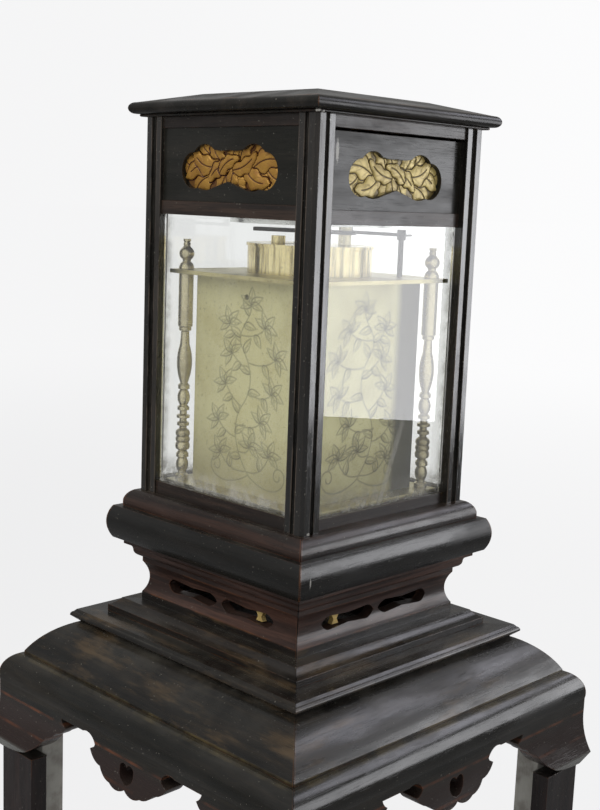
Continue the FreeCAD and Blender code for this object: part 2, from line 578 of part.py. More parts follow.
def make_plinth():
    """Pierced cove, cap, half-round, sill and floor of the plinth, and the gilt studs."""
    cove = mitred_length("cove_length", [
        ("cove_back", "cove_base"), ("cove_half", "cove_base"),
        ("cove_half - cove_depth", "cove_base + cove_height / 2", "via"),
        ("cove_half", "cap_base"), ("cove_back", "cap_base"),
    ], "cove_half")
    cut_through(cove, "YZ_Plane", [fret_loop(""), fret_loop("-")])
    ring_of("cove_panels", cove, list(SIDES.values()))

    stud = new_body("stud_right")
    middle = "cove_base + fret_middle"
    tall = "fret_rise - fret_cusp - fit_gap"
    outer = "cove_half - stud_inset"
    near, far = middle + " - (%s)" % tall, middle + " + %s" % tall
    waisted = [("stud_place - stud_wide / 2", near), ("stud_place + stud_wide / 2", near),
               ("stud_place + stud_waist / 2", middle), ("stud_place + stud_wide / 2", far),
               ("stud_place - stud_wide / 2", far), ("stud_place - stud_waist / 2", middle)]
    pad(stud, "YZ_Plane", [waisted], "stud_deep", outer + " - stud_deep")
    stud_back = new_body("stud_back")
    pad(stud_back, "XZ_Plane", [waisted], "stud_deep", "-(%s)" % outer)
    links = [stud, stud_back]
    for body in (stud, stud_back):
        link = doc.addObject("App::Link", body.Label + "_opposite")
        link.LinkedObject = body
        link.LinkTransform = False
        place(link, 2 * QUARTER)
        links.append(link)
    studs = keep(doc.addObject("Part::Compound", "fret_studs"))
    studs.Label = "fret_studs"
    studs.Links = links

    wave_low = "cap_base + cap_foot + 0.25 * (cap_height - cap_foot - cap_fillet)"
    wave_high = "cap_base + cap_foot + 0.75 * (cap_height - cap_foot - cap_fillet)"
    wave_half = "(cap_half - cove_half)"
    ring_of("cove_cap", mitred_length("cap_length", [
        ("plinth_inner", "cap_base"), ("cove_half", "cap_base"), ("cove_half", "cap_base + cap_foot"),
        ("cove_half + 0.25 * %s + cap_wave" % wave_half, wave_low + " - cap_wave", "via"),
        ("cove_half + 0.5 * %s" % wave_half,
         "cap_base + cap_foot + 0.5 * (cap_height - cap_foot - cap_fillet)"),
        ("cove_half + 0.75 * %s - cap_wave" % wave_half, wave_high + " + cap_wave", "via"),
        ("cap_half", "torus_base - cap_fillet"), ("cap_half", "torus_base"),
        ("plinth_inner", "torus_base"),
    ], "cap_half"), list(SIDES.values()))
    ring_of("torus_moulding", mitred_length("torus_length", [
        ("plinth_inner", "torus_base"), ("torus_edge_half", "torus_base"),
        ("torus_half", "torus_base + torus_height / 2", "via"),
        ("torus_edge_half", "sill_base"), ("plinth_inner", "sill_base"),
    ], "torus_half"), list(SIDES.values()))
    ring_of("sill_bead", mitred_length("sill_length", [
        ("sill_inner", "sill_base"), ("sill_half", "sill_base"),
        ("(sill_half + sill_top_half) / 2 + sill_bulge", "sill_base + sill_height / 2 + sill_bulge", "via"),
        ("sill_top_half", "hood_base"), ("sill_inner", "hood_base"),
    ], "sill_half"), list(SIDES.values()))

    floor = keep(new_body("plinth_floor"))
    reach = "sill_inner - fit_gap"
    pad(floor, "XY_Plane", [box_loop("-(%s)" % reach, reach, "-(%s)" % reach, reach)], "floor_thick",
        "sill_base")
    seat = keep(new_body("movement_seat"))
    pad(seat, "XY_Plane", [box_loop("-seat_half", "seat_half", "-seat_half", "seat_half")], "seat_thick",
        "seat_base")


def make_posts():
    """Corner posts: chamfered outer corner, a groove and a bead on each outer face."""
    far = "post_half"
    bead = "post_half - post_bead_set"
    bead_end = "post_inner + post_side - post_band - post_groove"
    band = "post_half - post_band"
    deep = "post_half - post_groove_deep"
    side = [("post_inner", "post_inner + post_inner_cut"), ("post_inner", bead), (bead_end, bead),
            (bead_end, deep), (band, deep), (band, far), ("post_half - post_chamfer", far)]
    section = side + [(y, x) for x, y in reversed(side)]
    post = new_body("post_length")
    pad(post, "XY_Plane", [section], "post_height", "hood_base")
    ring_of("corner_posts", post, list(SIDES.values()))


def rail_profile(outer, low, high, groove=""):
    """Section of a rail, with a groove for the pane along its inner edge."""
    inner = outer + " - rail_thick"
    slot_out = outer + " - pane_inset + fit_gap"
    slot_in = outer + " - pane_inset - pane_thick - fit_gap"
    if groove == "below":
        deep = low + " + pane_lap + fit_gap"
        return [(inner, low), (slot_in, low), (slot_in, deep), (slot_out, deep), (slot_out, low),
                (outer, low), (outer, high), (inner, high)]
    if groove == "above":
        deep = high + " - pane_lap - fit_gap"
        return [(inner, low), (outer, low), (outer, high), (slot_out, high), (slot_out, deep),
                (slot_in, deep), (slot_in, high), (inner, high)]
    return [(inner, low), (outer, low), (outer, high), (inner, high)]


def rail(label, profile):
    """Straight rail between two posts on the +X side."""
    body = new_body(label)
    pad(body, "XZ_Plane", [profile], "2 * (panel_reach)", both_ways=True)
    return body


def frieze_board(label, outer, low, high):
    """Board above the glass with a cloud-shaped opening."""
    body = new_body(label)
    half = shared(CLOUD_SHARES, "cloud_half", "cloud_rise", "(%s) - cloud_drop" % high)
    board = box_loop("-(panel_reach)", "panel_reach", low, high)
    pad(body, "YZ_Plane", [board, mirrored_loop(half)], "frieze_thick",
        outer + " - frieze_set - frieze_thick")
    return body


def carving_board(label, outer, high):
    """Carved board glued behind the opening of a frieze."""
    body = new_body(label)
    reach = "cloud_half + carving_margin"
    middle = "(%s) - cloud_drop" % high
    rise = "cloud_rise + carving_margin"
    pad(body, "YZ_Plane", [box_loop("-(%s)" % reach, reach, middle + " - (%s)" % rise,
                                    middle + " + %s" % rise)],
        "carving_thick", outer + " - frieze_set - frieze_thick - carving_thick")
    return body


def pane_sheet(label, outer, low, high):
    """Sheet of glass held in the grooves of two rails."""
    body = new_body(label)
    pad(body, "YZ_Plane", [box_loop("-(panel_reach)", "panel_reach", low, high)], "pane_thick",
        outer + " - pane_inset - pane_thick")
    return body


def make_hood():
    """Rails, friezes, carvings and panes: three fixed sides and one loose panel at the back."""
    fixed = [SIDES["right"], SIDES["left"], SIDES["front"]]
    outer = "face_half"
    mid_low = "frieze_base - mid_rail_height"
    bottom_high = "hood_base + bottom_rail_height"
    ring_of("top_rails", rail("top_rail", rail_profile(outer, "frieze_top", "hood_top")),
            list(SIDES.values()))
    ring_of("fixed_friezes", frieze_board("frieze", outer, "frieze_base", "frieze_top"), fixed)
    ring_of("fixed_carvings", carving_board("carving", outer, "frieze_top"), fixed)
    ring_of("fixed_mid_rails", rail("mid_rail", rail_profile(outer, mid_low, "frieze_base", "below")), fixed)
    ring_of("fixed_panes", pane_sheet("pane", outer, "pane_base", "pane_top"), fixed)
    ring_of("fixed_bottom_rails", rail("bottom_rail", rail_profile(outer, "hood_base", bottom_high, "above")),
            fixed)

    outer = "face_half - loose_set"
    high = "frieze_top - loose_drop"
    loose = [
        frieze_board("loose_frieze", outer, "frieze_base - loose_drop", high),
        carving_board("loose_carving", outer, high),
        pane_sheet("loose_pane", outer, "pane_base - loose_drop", "pane_top - loose_drop"),
    ]
    for body in loose:
        place(keep(body), SIDES["back"])
    bars = [
        rail("loose_mid_rail", rail_profile(outer, mid_low + " - loose_drop", "frieze_base - loose_drop",
                                            "below")),
        rail("loose_bottom_rail", rail_profile(outer, "hood_base", bottom_high + " - loose_drop", "above")),
    ]
    for body in bars:
        place(body, SIDES["back"])
    rails = keep(doc.addObject("Part::Compound", "loose_rails"))
    rails.Label = "loose_rails"
    rails.Links = bars


def make_lid():
    """Lid: a thin bead on the posts, a nosed board and a low tier with broad bevels on top."""
    ring_of("lid_bead", mitred_length("lid_bead_length", [
        ("post_inner", "hood_top"), ("lid_bead_half - lid_bead_nose", "hood_top"),
        ("lid_bead_half", "hood_top + lid_bead_height / 2", "via"),
        ("lid_bead_half - lid_bead_nose", "lid_base"), ("post_inner", "lid_base"),
    ], "lid_bead_half"), list(SIDES.values()))
    moulded_board("lid_board", [
        ("lid_half - lid_nose", "lid_base"), ("lid_half", "lid_base + lid_thick / 2", "via"),
        ("lid_half - lid_nose", "tier_base"),
    ], "lid_half")
    moulded_board("lid_tier", [
        ("tier_half", "tier_base"), ("tier_half - tier_slope", "tier_base + tier_height"),
    ], "tier_half")


def make_frame():
    """Bottom and top plates, turned pillars, finials and the four panels of the box."""
    square = box_loop("-plate_half", "plate_half", "-plate_half", "plate_half")
    spots = [(x + "pillar_place", y + "pillar_place") for x in ("", "-") for y in ("", "-")]
    bottom = keep(new_body("bottom_plate"))
    pad(bottom, "XY_Plane", [square], "plate_thick", "plate_base")
    cut_down(bottom, [("circle", x, y, "pillar_stud + fit_gap") for x, y in spots], "box_base",
             "pillar_spigot + fit_gap")
    cut_through(bottom, "XY_Plane", [("circle", "hammer_across", "hammer_along", "pivot_radius + run_gap")])
    top = keep(new_body("top_plate"))
    pad(top, "XY_Plane", [square], "plate_thick", "top_base")
    holes = [("circle", x, y, "pillar_stud + fit_gap") for x, y in spots]
    holes.append(("circle", "0", "0", "staff_radius + clear_gap"))
    holes.append(("circle", "hammer_across", "hammer_along", "hammer_radius + run_gap"))
    cut_through(top, "XY_Plane", holes)

    pillar = new_body("pillar")
    outline = [("0", "box_base - pillar_spigot"), ("pillar_stud", "box_base - pillar_spigot"),
               ("pillar_stud", "box_base")]
    outline += shared(PILLAR_SHARES, "pillar_radius", "box_height", "box_base")
    stud_top = "drum_base + pillar_stud_rise"
    outline += [("pillar_stud", "top_base"), ("pillar_stud", stud_top), ("0", stud_top)]
    turn(pillar, outline)
    corner_group("corner_pillars", pillar)

    finial = new_body("finial")
    outline = [("pillar_stud + fit_gap", "drum_base")]
    outline += shared(FINIAL_SHARES, "finial_radius", "finial_height", "drum_base")
    bore_top = stud_top + " + fit_gap"
    outline += [("0", bore_top), ("pillar_stud + fit_gap", bore_top)]
    turn(finial, outline)
    corner_group("finial_nuts", finial)

    for name in ("right", "left"):
        panel = keep(new_body("box_panel_" + name))
        pad(panel, "YZ_Plane", [box_loop("-box_half", "box_half", "box_base", "top_base")], "panel_thick",
            "box_half - panel_thick")
        if name == "right":
            cut_through(panel, "YZ_Plane", [
                ("circle", "panel_hole_side", "top_base - panel_hole_drop", "panel_hole")])
        place(panel, SIDES[name])
    inner = "box_half - panel_thick"
    panel = keep(new_body("box_panel_back"))
    pad(panel, "YZ_Plane", [box_loop("-(%s)" % inner, inner, "box_base", "top_base")], "panel_thick", inner)
    place(panel, SIDES["back"])
    dial = keep(new_body("dial_plate"))
    pad(dial, "YZ_Plane", [box_loop("-(%s)" % inner, inner, "box_base", "top_base"),
                           ("circle", "0", "dial_level", "arbor_radius + clear_gap")], "panel_thick", inner)
    place(dial, SIDES["front"])


def corner_group(label, body):
    """Four alike turned pieces on the corners of the plates."""
    links = [body]
    corners = [(x + "pillar_place", y + "pillar_place") for x in ("", "-") for y in ("", "-")]
    place(body, 0, *corners[0])
    for index, (x, y) in enumerate(corners[1:], start=1):
        link = doc.addObject("App::Link", "%s_%d" % (label, index))
        link.LinkedObject = body
        link.LinkTransform = False
        place(link, 0, x, y)
        links.append(link)
    group = doc.addObject("Part::Compound", label)
    group.Label = label
    group.Links = links
    return keep(group)


def make_bell():
    """Drum with its lid, and the bell on a bridge carried by a post."""
    inner = "drum_radius - drum_wall"
    wall = new_body("drum_wall_ring")
    turn(wall, [(inner, "drum_base"), ("drum_radius", "drum_base"), ("drum_radius", "drum_lid_base"),
                (inner, "drum_lid_base")])
    slot = new_body("drum_slot")
    half_slot = "drum_slot_wide / 2"
    pad(slot, "XY_Plane", [box_loop(inner + " - drum_wall", "drum_radius + drum_wall",
                                    "-(%s)" % half_slot, half_slot)], "drum_slot_tall", "drum_base")
    place(slot, DRUM_SLOT_TURN)
    drum = keep(doc.addObject("Part::Cut", "drum"))
    drum.Label = "drum"
    drum.Base = wall
    drum.Tool = slot

    lid = keep(new_body("drum_lid"))
    pad(lid, "XY_Plane", [("circle", "0", "0", "drum_radius + drum_lid_lap")], "drum_lid_thick",
        "drum_lid_base")
    pad(lid, "XY_Plane", [("circle", "knob_across", "knob_along", "knob_radius")], "knob_height",
        "drum_lid_top")
    cut_through(lid, "XY_Plane", [("circle", "0", "0", "staff_pivot + run_gap")])

    post = keep(new_body("bell_post"))
    pad(post, "XY_Plane", [("circle", "bell_post_reach", "0", "bell_post_radius")], "bell_post_height",
        "drum_lid_top")
    place(post, BRIDGE_TURN)
    bridge = keep(new_body("bell_bridge"))
    half_bar = "bridge_wide / 2"
    pad(bridge, "XY_Plane", [box_loop("-bridge_far", "bell_post_reach", "-(%s)" % half_bar, half_bar)],
        "bridge_thick", "bridge_base")
    pad(bridge, "XY_Plane", [("circle", "bell_post_reach", "0", "bridge_eye")], "bridge_thick", "bridge_base")
    cut_through(bridge, "XY_Plane", [("circle", "bell_post_reach", "0", "bell_post_radius + run_gap"),
                                     ("circle", "0", "0", "bell_screw + run_gap")])
    place(bridge, BRIDGE_TURN)

    bell = keep(new_body("bell"))
    inside = "bell_radius - bell_wall"
    under = "bell_top - bell_wall"
    hole = "bell_screw + run_gap"
    bend_out = "(bell_radius + bell_crown) / 2 + bell_swell"
    bend_up = "bell_shoulder + bell_dome / 2 + bell_swell"
    turn(bell, [
        (inside, "bell_rim"), ("bell_radius", "bell_rim"), ("bell_radius", "bell_shoulder"),
        (bend_out, bend_up, "via"), ("bell_crown", "bell_top"), (hole, "bell_top"), (hole, under),
        ("bell_crown", under), (bend_out + " - 0.7 * bell_wall", bend_up + " - 0.7 * bell_wall", "via"),
        (inside, "bell_shoulder"),
    ])
    stud = keep(new_body("bell_stud"))
    tip = "bell_top + bell_nut_height"
    turn(stud, [
        ("0", "bridge_base"), ("bell_screw", "bridge_base"), ("bell_screw", "bridge_top"),
        ("bell_stud_radius", "bridge_top"), ("bell_stud_radius", under), ("bell_screw", under),
        ("bell_screw", tip), ("0", tip),
    ])
    nut = keep(new_body("bell_nut"))
    turn(nut, [
        (hole, "bell_top"), ("bell_nut_radius", "bell_top"),
        ("0.9 * bell_nut_radius", "bell_top + 0.7 * bell_nut_height", "via"),
        ("0.6 * bell_nut_radius", tip), (hole, tip),
    ])


def make_hammer():
    """Hammer on an upright arbor: striking arm and head, thin stop arm and lifting tail."""
    hammer = keep(new_body("hammer"))
    arm = "drum_base + hammer_arm_rise"
    arm_base = arm + " - hammer_arm_thick / 2"
    foot = "box_base + run_gap"
    half_arm = "hammer_arm_wide / 2"
    half_tail = "hammer_tail_wide / 2"
    half_stop = "hammer_stop_wide / 2"
    pad(hammer, "XY_Plane", [("circle", "0", "0", "hammer_radius")], "%s - (%s)" % (arm, foot), foot)
    pad(hammer, "XY_Plane", [("circle", "0", "0", "pivot_radius")], "plate_thick - clear_gap + run_gap",
        "plate_base + clear_gap")
    pad(hammer, "XY_Plane", [("circle", "0", "0", "hammer_hub")], "hammer_hub_height",
        "%s - hammer_hub_height / 2" % arm)
    pad(hammer, "XY_Plane", [box_loop("-(%s)" % half_arm, half_arm, "-hammer_reach", "0")],
        "hammer_arm_thick", arm_base)
    pad(hammer, "XY_Plane", [("circle", "0", "-hammer_reach", "hammer_head")], "hammer_head_rise", arm_base)
    stop = [("0", half_stop), ("-hammer_stop_reach", "%s - hammer_stop_fall" % half_stop),
            ("-hammer_stop_reach", "-hammer_stop_fall - %s" % half_stop), ("0", "-(%s)" % half_stop)]
    pad(hammer, "XY_Plane", [stop], "hammer_stop_thick", arm_base)
    pad(hammer, "XY_Plane", [box_loop("-(%s)" % half_tail, half_tail, "-hammer_tail_reach", "0")],
        "hammer_arm_thick", SPOTS["pin"][1] + " + pin_circle + pin_radius + hammer_tail_lift")
    place(hammer, 0, "hammer_across", "hammer_along")


def make_dial():
    """Chapter ring on the front panel and the single hand in front of it."""
    ring = keep(new_body("chapter_ring"))
    circles = [("circle", "0", "dial_level", "ring_outer"), ("circle", "0", "dial_level", "ring_inner")]
    pad(ring, "XZ_Plane", circles, "ring_thick", "box_half")
    hand = keep(new_body("hand"))
    back = "box_half + ring_thick + hand_lift"
    half_hand = "hand_wide / 2"
    pad(hand, "XZ_Plane", [[
        ("-(%s) / 2" % half_hand, "dial_level - hand_tail"), (half_hand + " / 2", "dial_level - hand_tail"),
        (half_hand, "dial_level"), ("0", "dial_level + hand_length"), ("-(%s)" % half_hand, "dial_level"),
    ]], "hand_thick", back)
    pad(hand, "XZ_Plane", [("circle", "0", "dial_level", "hand_boss")], "hand_thick", back)
    cut_through(hand, "XZ_Plane", [("circle", "0", "dial_level", "arbor_radius + run_gap")])


def make_train_frame():
    """Upright train plates, spring barrels fixed to the front one, and the potence."""
    edge = box_loop("-train_plate_half", "train_plate_half", "box_base", "top_base")
    pivots = [("circle",) + SPOTS[name] + ("pivot_radius + run_gap",) for name in SPOTS]
    front = new_body("train_plate_front")
    pad(front, "XZ_Plane", [edge], "train_plate_thick", "train_half")
    arbor_hole = ("circle",) + SPOTS["great"] + ("arbor_radius + run_gap",)
    cut_through(front, "XZ_Plane", [arbor_hole] + [
        pivots[index] for index, name in enumerate(SPOTS) if name not in ("great", "crown")])
    back = new_body("train_plate_back")
    pad(back, "XZ_Plane", [edge], "train_plate_thick", "-(train_half) - train_plate_thick")
    cut_through(back, "XZ_Plane", pivots)
    plates = keep(doc.addObject("Part::Compound", "train_plates"))
    plates.Label = "train_plates"
    plates.Links = [front, back]

    barrel = new_body("barrel")
    mouth = "-(train_half)"
    end = "barrel_length - train_half"
    hollow = "barrel_radius - barrel_wall"
    turn(barrel, [("barrel_bore", end), ("barrel_radius", end), ("barrel_radius", mouth), (hollow, mouth),
                  (hollow, "%s - barrel_wall" % end), ("barrel_bore", "%s - barrel_wall" % end)])
    lay(barrel, *SPOTS["great"])
    other = doc.addObject("App::Link", "barrel_strike")
    other.LinkedObject = barrel
    other.LinkTransform = False
    lay(other, *SPOTS["strike"])
    barrels = keep(doc.addObject("Part::Compound", "mainspring_barrels"))
    barrels.Label = "mainspring_barrels"
    barrels.Links = [barrel, other]

    potence = keep(new_body("potence"))
    arm_top = "crown_level - crown_radius - potence_room"
    half = "potence_wide / 2"
    rear = "potence_set + potence_thick"
    pad(potence, "XZ_Plane", [box_loop("-(%s)" % half, half, "%s - potence_foot" % arm_top, "top_base")],
        "potence_thick", "-(%s)" % rear)
    pad(potence, "XY_Plane", [box_loop("-(%s) / 2" % half, "%s / 2" % half, "-potence_foot", rear)],
        "potence_foot", "%s - potence_foot" % arm_top)
    cut_through(potence, "XZ_Plane", [("circle",) + SPOTS["crown"] + ("arbor_radius + run_gap",)])
    cut_through(potence, "XY_Plane", [("circle", "0", "0", "staff_pivot + run_gap")])

    balance = keep(new_body("balance"))
    staff_low = arm_top + " + clear_gap"
    staff_high = "drum_lid_base - clear_gap"
    pad(balance, "XY_Plane", [("circle", "0", "0", "staff_radius")], "%s - (%s)" % (staff_high, staff_low),
        staff_low)
    pad(balance, "XY_Plane", [("circle", "0", "0", "staff_pivot")], "potence_foot",
        staff_low + " - potence_foot")
    pad(balance, "XY_Plane", [("circle", "0", "0", "staff_pivot")], "drum_lid_thick", staff_high)
    ring_low = "drum_base + balance_rise"
    bar = "balance_bar / 2"
    rim_middle = "balance_radius - balance_rim / 2"
    pad(balance, "XY_Plane", [box_loop("-(%s)" % rim_middle, rim_middle, "-(%s)" % bar, bar)],
        "balance_thick", ring_low)
    pad(balance, "XY_Plane", [("circle", "0", "0", "balance_radius"),
                              ("circle", "0", "0", "balance_radius - balance_rim")],
        "balance_thick", ring_low)
    flag = "pallet_thick / 2"
    pad(balance, "XY_Plane", [box_loop("0", "pallet_reach", "-(%s)" % flag, flag)], "pallet_tall",
        "crown_level - crown_radius")
    pad(balance, "XY_Plane", [box_loop("-pallet_reach", "0", "-(%s)" % flag, flag)], "pallet_tall",
        "crown_level + crown_radius - pallet_tall")


def tooth_outline(teeth, module, phase):
    """Face of a toothed wheel: involute flanks, arcs at the tips and at the roots."""
    pitch = module * teeth / 2
    base = pitch * math.cos(PRESSURE_ANGLE)
    tip = pitch + ADDENDUM_SHARE * module
    root = pitch - DEDENDUM_SHARE * module
    start = max(root, base)

    def lean(radius):
        angle = math.acos(min(1, base / radius))
        flank = math.tan(PRESSURE_ANGLE) - PRESSURE_ANGLE - math.tan(angle) + angle
        return (math.pi / 2 - BACKLASH_SHARE) / teeth + flank

    def at(radius, angle):
        return Vector(radius * math.cos(angle), radius * math.sin(angle), 0)

    edges = []
    step = 2 * math.pi / teeth
    middle = (start + tip) / 2
    for index in range(teeth):
        axis = phase + index * step
        low, high = axis - lean(start), axis + lean(start)
        if root < start:
            edges.append(Part.LineSegment(at(root, low), at(start, low)))
        edges.append(Part.Arc(at(start, low), at(middle, axis - lean(middle)), at(tip, axis - lean(tip))))
        edges.append(Part.Arc(at(tip, axis - lean(tip)), at(tip, axis), at(tip, axis + lean(tip))))
        edges.append(Part.Arc(at(tip, axis + lean(tip)), at(middle, axis + lean(middle)), at(start, high)))
        if root < start:
            edges.append(Part.LineSegment(at(start, high), at(root, high)))
        edges.append(Part.Arc(at(root, high), at(root, axis + step / 2), at(root, low + step)))
    return Part.Face(Part.Wire([edge.toShape() for edge in edges]))


def rod(radius, low, high):
    """Round length of an arbor between two places along it."""
    return Part.makeCylinder(size(radius), size(high) - size(low), Vector(0, 0, size(low)))


def toothed(teeth, module, phase, low, high):
    """Toothed disc between two places along its arbor."""
    face = tooth_outline(teeth, size(module), phase)
    face.translate(Vector(0, 0, size(low)))
    return face.extrude(Vector(0, 0, size(high) - size(low)))


def crossed(teeth, module, phase, low, high):
    """Wheel with its spokes: a toothed disc with the gaps between them cut away."""
    reach = "%s * %s - rim_wide" % (teeth / 2, module)
    gaps = rod(reach, low, high).cut(rod("hub_radius", low, high))
    depth = size(high) - size(low)
    corner = Vector(-size(reach), -size("spoke_wide") / 2, size(low))
    for index in range(SPOKES // 2):
        bar = Part.makeBox(2 * size(reach), size("spoke_wide"), depth, corner)
        bar.rotate(Vector(0, 0, 0), Z_AXIS, index * 2 * math.degrees(math.pi) / SPOKES)
        gaps = gaps.cut(bar)
    return toothed(teeth, module, phase, low, high).cut(gaps)


def arbor(low="-(train_half) + clear_gap", high="train_half - clear_gap", low_pivot=True):
    """Arbor with a thinner pivot at each end that runs in a plate."""
    ends = "train_half + train_plate_thick - clear_gap"
    pieces = [rod("arbor_radius", low, high), rod("pivot_radius", high, ends)]
    if low_pivot:
        pieces.append(rod("pivot_radius", "-(%s)" % ends, low))
    return pieces


def make_turning(label, spot, pieces):
    """One turning piece of a train, laid level on its pivots."""
    item = keep(doc.addObject("Part::Feature", label))
    item.Label = label
    item.Shape = pieces[0].multiFuse(pieces[1:]).removeSplitter()
    lay(item, *SPOTS[spot])


def meshing(phase, teeth, first, second, other_teeth):
    """Phase of the second wheel's teeth that sets them between those of the first."""
    across = size(SPOTS[second][0]) - size(SPOTS[first][0])
    up = size(SPOTS[second][1]) - size(SPOTS[first][1])
    direction = math.atan2(-up, across)
    part_tooth = ((direction - phase) * teeth / (2 * math.pi)) % 1
    return direction + math.pi + (part_tooth + 1 / 2) * 2 * math.pi / other_teeth


def make_going_train():
    """Great wheel with the hand's arbor, second wheel and crown wheel."""
    low, high = "-going_set", "great_thick - going_set"
    front = "-(box_half + ring_thick + hand_lift + hand_thick + clear_gap)"
    make_turning("going_great_wheel", "great", arbor(low=front, low_pivot=False) + [
        crossed(WHEEL_TEETH, "tooth_module", 0, low, high)])
    phase = meshing(0, WHEEL_TEETH, "great", "second", PINION_LEAVES)
    rear_low, rear_high = "back_set", "back_set + wheel_thick"
    make_turning("second_wheel", "second", arbor() + [
        toothed(PINION_LEAVES, "tooth_module", phase, low + " - pinion_lap", high + " + pinion_lap"),
        crossed(WHEEL_TEETH, "fine_module", 0, rear_low, rear_high)])
    phase = meshing(0, WHEEL_TEETH, "second", "crown", PINION_LEAVES)
    rim_end = "crown_reach + crown_depth"
    disc = "%s - wheel_thick" % rim_end
    rim = rod("crown_radius", "crown_reach", rim_end)
    rim = rim.cut(rod("crown_radius - crown_rim", "crown_reach", disc))
    for index in range(CROWN_TEETH):
        side = size("crown_tooth")
        gap = Part.makePolygon([Vector(0, 0, 0), Vector(0, side, 0), Vector(0, 0, size("crown_depth") / 2),
                                Vector(0, 0, 0)])
        wedge = Part.Face(gap).extrude(Vector(size("crown_radius + overrun"), 0, 0))
        wedge.translate(Vector(0, 0, size("crown_reach")))
        wedge.rotate(Vector(0, 0, 0), Z_AXIS, index * 4 * QUARTER / CROWN_TEETH)
        rim = rim.cut(wedge)
    make_turning("crown_wheel", "crown", arbor(low=disc, low_pivot=False) + [
        rim, toothed(PINION_LEAVES, "fine_module", phase,
                     rear_low + " - pinion_lap", rear_high + " + pinion_lap")])


def make_strike_train():
    """Strike great wheel, pin wheel and fly."""
    low, high = "back_set", "back_set + great_thick"
    make_turning("strike_great_wheel", "strike", arbor() + [
        crossed(WHEEL_TEETH, "tooth_module", 0, low, high)])
    phase = meshing(0, WHEEL_TEETH, "strike", "pin", PINION_LEAVES)
    disc_low, disc_high = "pin_wheel_set", "pin_wheel_set + wheel_thick"
    pieces = arbor() + [
        toothed(PINION_LEAVES, "tooth_module", phase, low + " - pinion_lap", high + " + pinion_lap"),
        toothed(PIN_WHEEL_TEETH, "fine_module", 0, disc_low, disc_high)]
    for index in range(STRIKE_PINS):
        pin = rod("pin_radius", disc_high, disc_high + " + pin_length")
        pin.translate(Vector(size("pin_circle"), 0, 0))
        pin.rotate(Vector(0, 0, 0), Z_AXIS, index * 4 * QUARTER / STRIKE_PINS)
        pieces.append(pin)
    make_turning("pin_wheel", "pin", pieces)
    phase = meshing(0, PIN_WHEEL_TEETH, "pin", "fly", PINION_LEAVES)
    vane_low = "great_thick - going_set + pinion_lap"
    vane_high = "pin_wheel_set - 2 * pinion_lap"
    vane = Part.makeBox(2 * size("fly_reach"), size("fly_thick"), size(vane_high) - size(vane_low),
                        Vector(-size("fly_reach"), -size("fly_thick") / 2, size(vane_low)))
    make_turning("fly", "fly", arbor() + [
        vane, toothed(PINION_LEAVES, "fine_module", phase,
                      disc_low + " - pinion_lap", disc_high + " + pinion_lap")])


make_legs()
make_aprons()
make_shoulder()
make_base()
make_plinth()
make_posts()
make_hood()
make_lid()
make_frame()
make_dial()
make_train_frame()
make_going_train()
make_strike_train()
make_bell()
make_hammer()
doc.recompute()

bad = [item.Label for item in doc.Objects if {"Invalid", "Error"} & set(item.State)]
bad += [item.Label for item in nodes if item.Shape.isNull() or not item.Shape.isValid()]
if bad:
    raise RuntimeError("failed pieces: " + ", ".join(bad))
os.makedirs("parts", exist_ok=True)
for item in nodes:
    item.Shape.exportStep("parts/%s.step" % item.Label)
    box = item.Shape.BoundBox
    print(item.Label, len(item.Shape.Solids), round(item.Shape.Volume),
          [round(v, 1) for v in (box.XMin, box.XMax, box.YMin, box.YMax, box.ZMin, box.ZMax)])
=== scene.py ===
import math

import bpy
import numpy as np
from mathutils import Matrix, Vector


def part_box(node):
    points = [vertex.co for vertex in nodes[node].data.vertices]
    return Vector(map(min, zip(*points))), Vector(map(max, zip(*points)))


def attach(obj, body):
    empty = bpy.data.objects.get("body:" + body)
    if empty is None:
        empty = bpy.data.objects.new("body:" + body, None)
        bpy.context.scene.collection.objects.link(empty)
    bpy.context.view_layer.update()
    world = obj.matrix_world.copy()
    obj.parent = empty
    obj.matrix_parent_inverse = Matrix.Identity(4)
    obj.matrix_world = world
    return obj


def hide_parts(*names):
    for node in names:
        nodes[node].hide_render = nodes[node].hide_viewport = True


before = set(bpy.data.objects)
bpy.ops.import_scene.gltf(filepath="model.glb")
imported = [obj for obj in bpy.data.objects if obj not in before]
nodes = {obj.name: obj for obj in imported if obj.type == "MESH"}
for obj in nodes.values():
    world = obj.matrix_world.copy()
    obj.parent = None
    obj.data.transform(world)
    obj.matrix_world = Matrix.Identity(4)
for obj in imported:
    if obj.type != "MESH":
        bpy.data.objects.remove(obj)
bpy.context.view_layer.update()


# Legs. Four angle-shaped legs of dark hardwood stand behind the corners of the aprons and are
# glued and pegged to them. The outside is stained and rubbed to a satin polish; the inside of the
# angle is lightened to pale grey, painted light for the light that falls on it.
def srgb(red, green, blue):
    """A colour as the eye reads it, 0 to 255, in the linear shares that a shader uses."""
    share = np.array([red, green, blue]) / 255
    linear = np.where(share > 0.04045, ((share + 0.055) / 1.055) ** 2.4, share / 12.92)
    return (*map(float, linear), 1.0)


def wire(tree, kind, sockets=None, take=0, **settings):
    """One node: its settings first, then each socket joined to an output or given a value."""
    made = tree.nodes.new("ShaderNode" + kind)
    for key, value in settings.items():
        setattr(made, key, value)
    for key, value in (sockets or {}).items():
        if isinstance(value, bpy.types.NodeSocket):
            tree.links.new(value, made.inputs[key])
        else:
            made.inputs[key].default_value = value
    return made.outputs if take is None else made.outputs[take]


def reckon(tree, operation, *terms, clamp=False):
    """A sum, product or other working on numbers and outputs."""
    return wire(tree, "Math", dict(enumerate(terms)), operation=operation, use_clamp=clamp)


def times(tree, one, other, clamp=False):
    """The product of two numbers or outputs."""
    return reckon(tree, "MULTIPLY", one, other, clamp=clamp)


def times_add(tree, value, factor, more, clamp=False):
    """A value times a factor, with more added to it."""
    return reckon(tree, "MULTIPLY_ADD", value, factor, more, clamp=clamp)


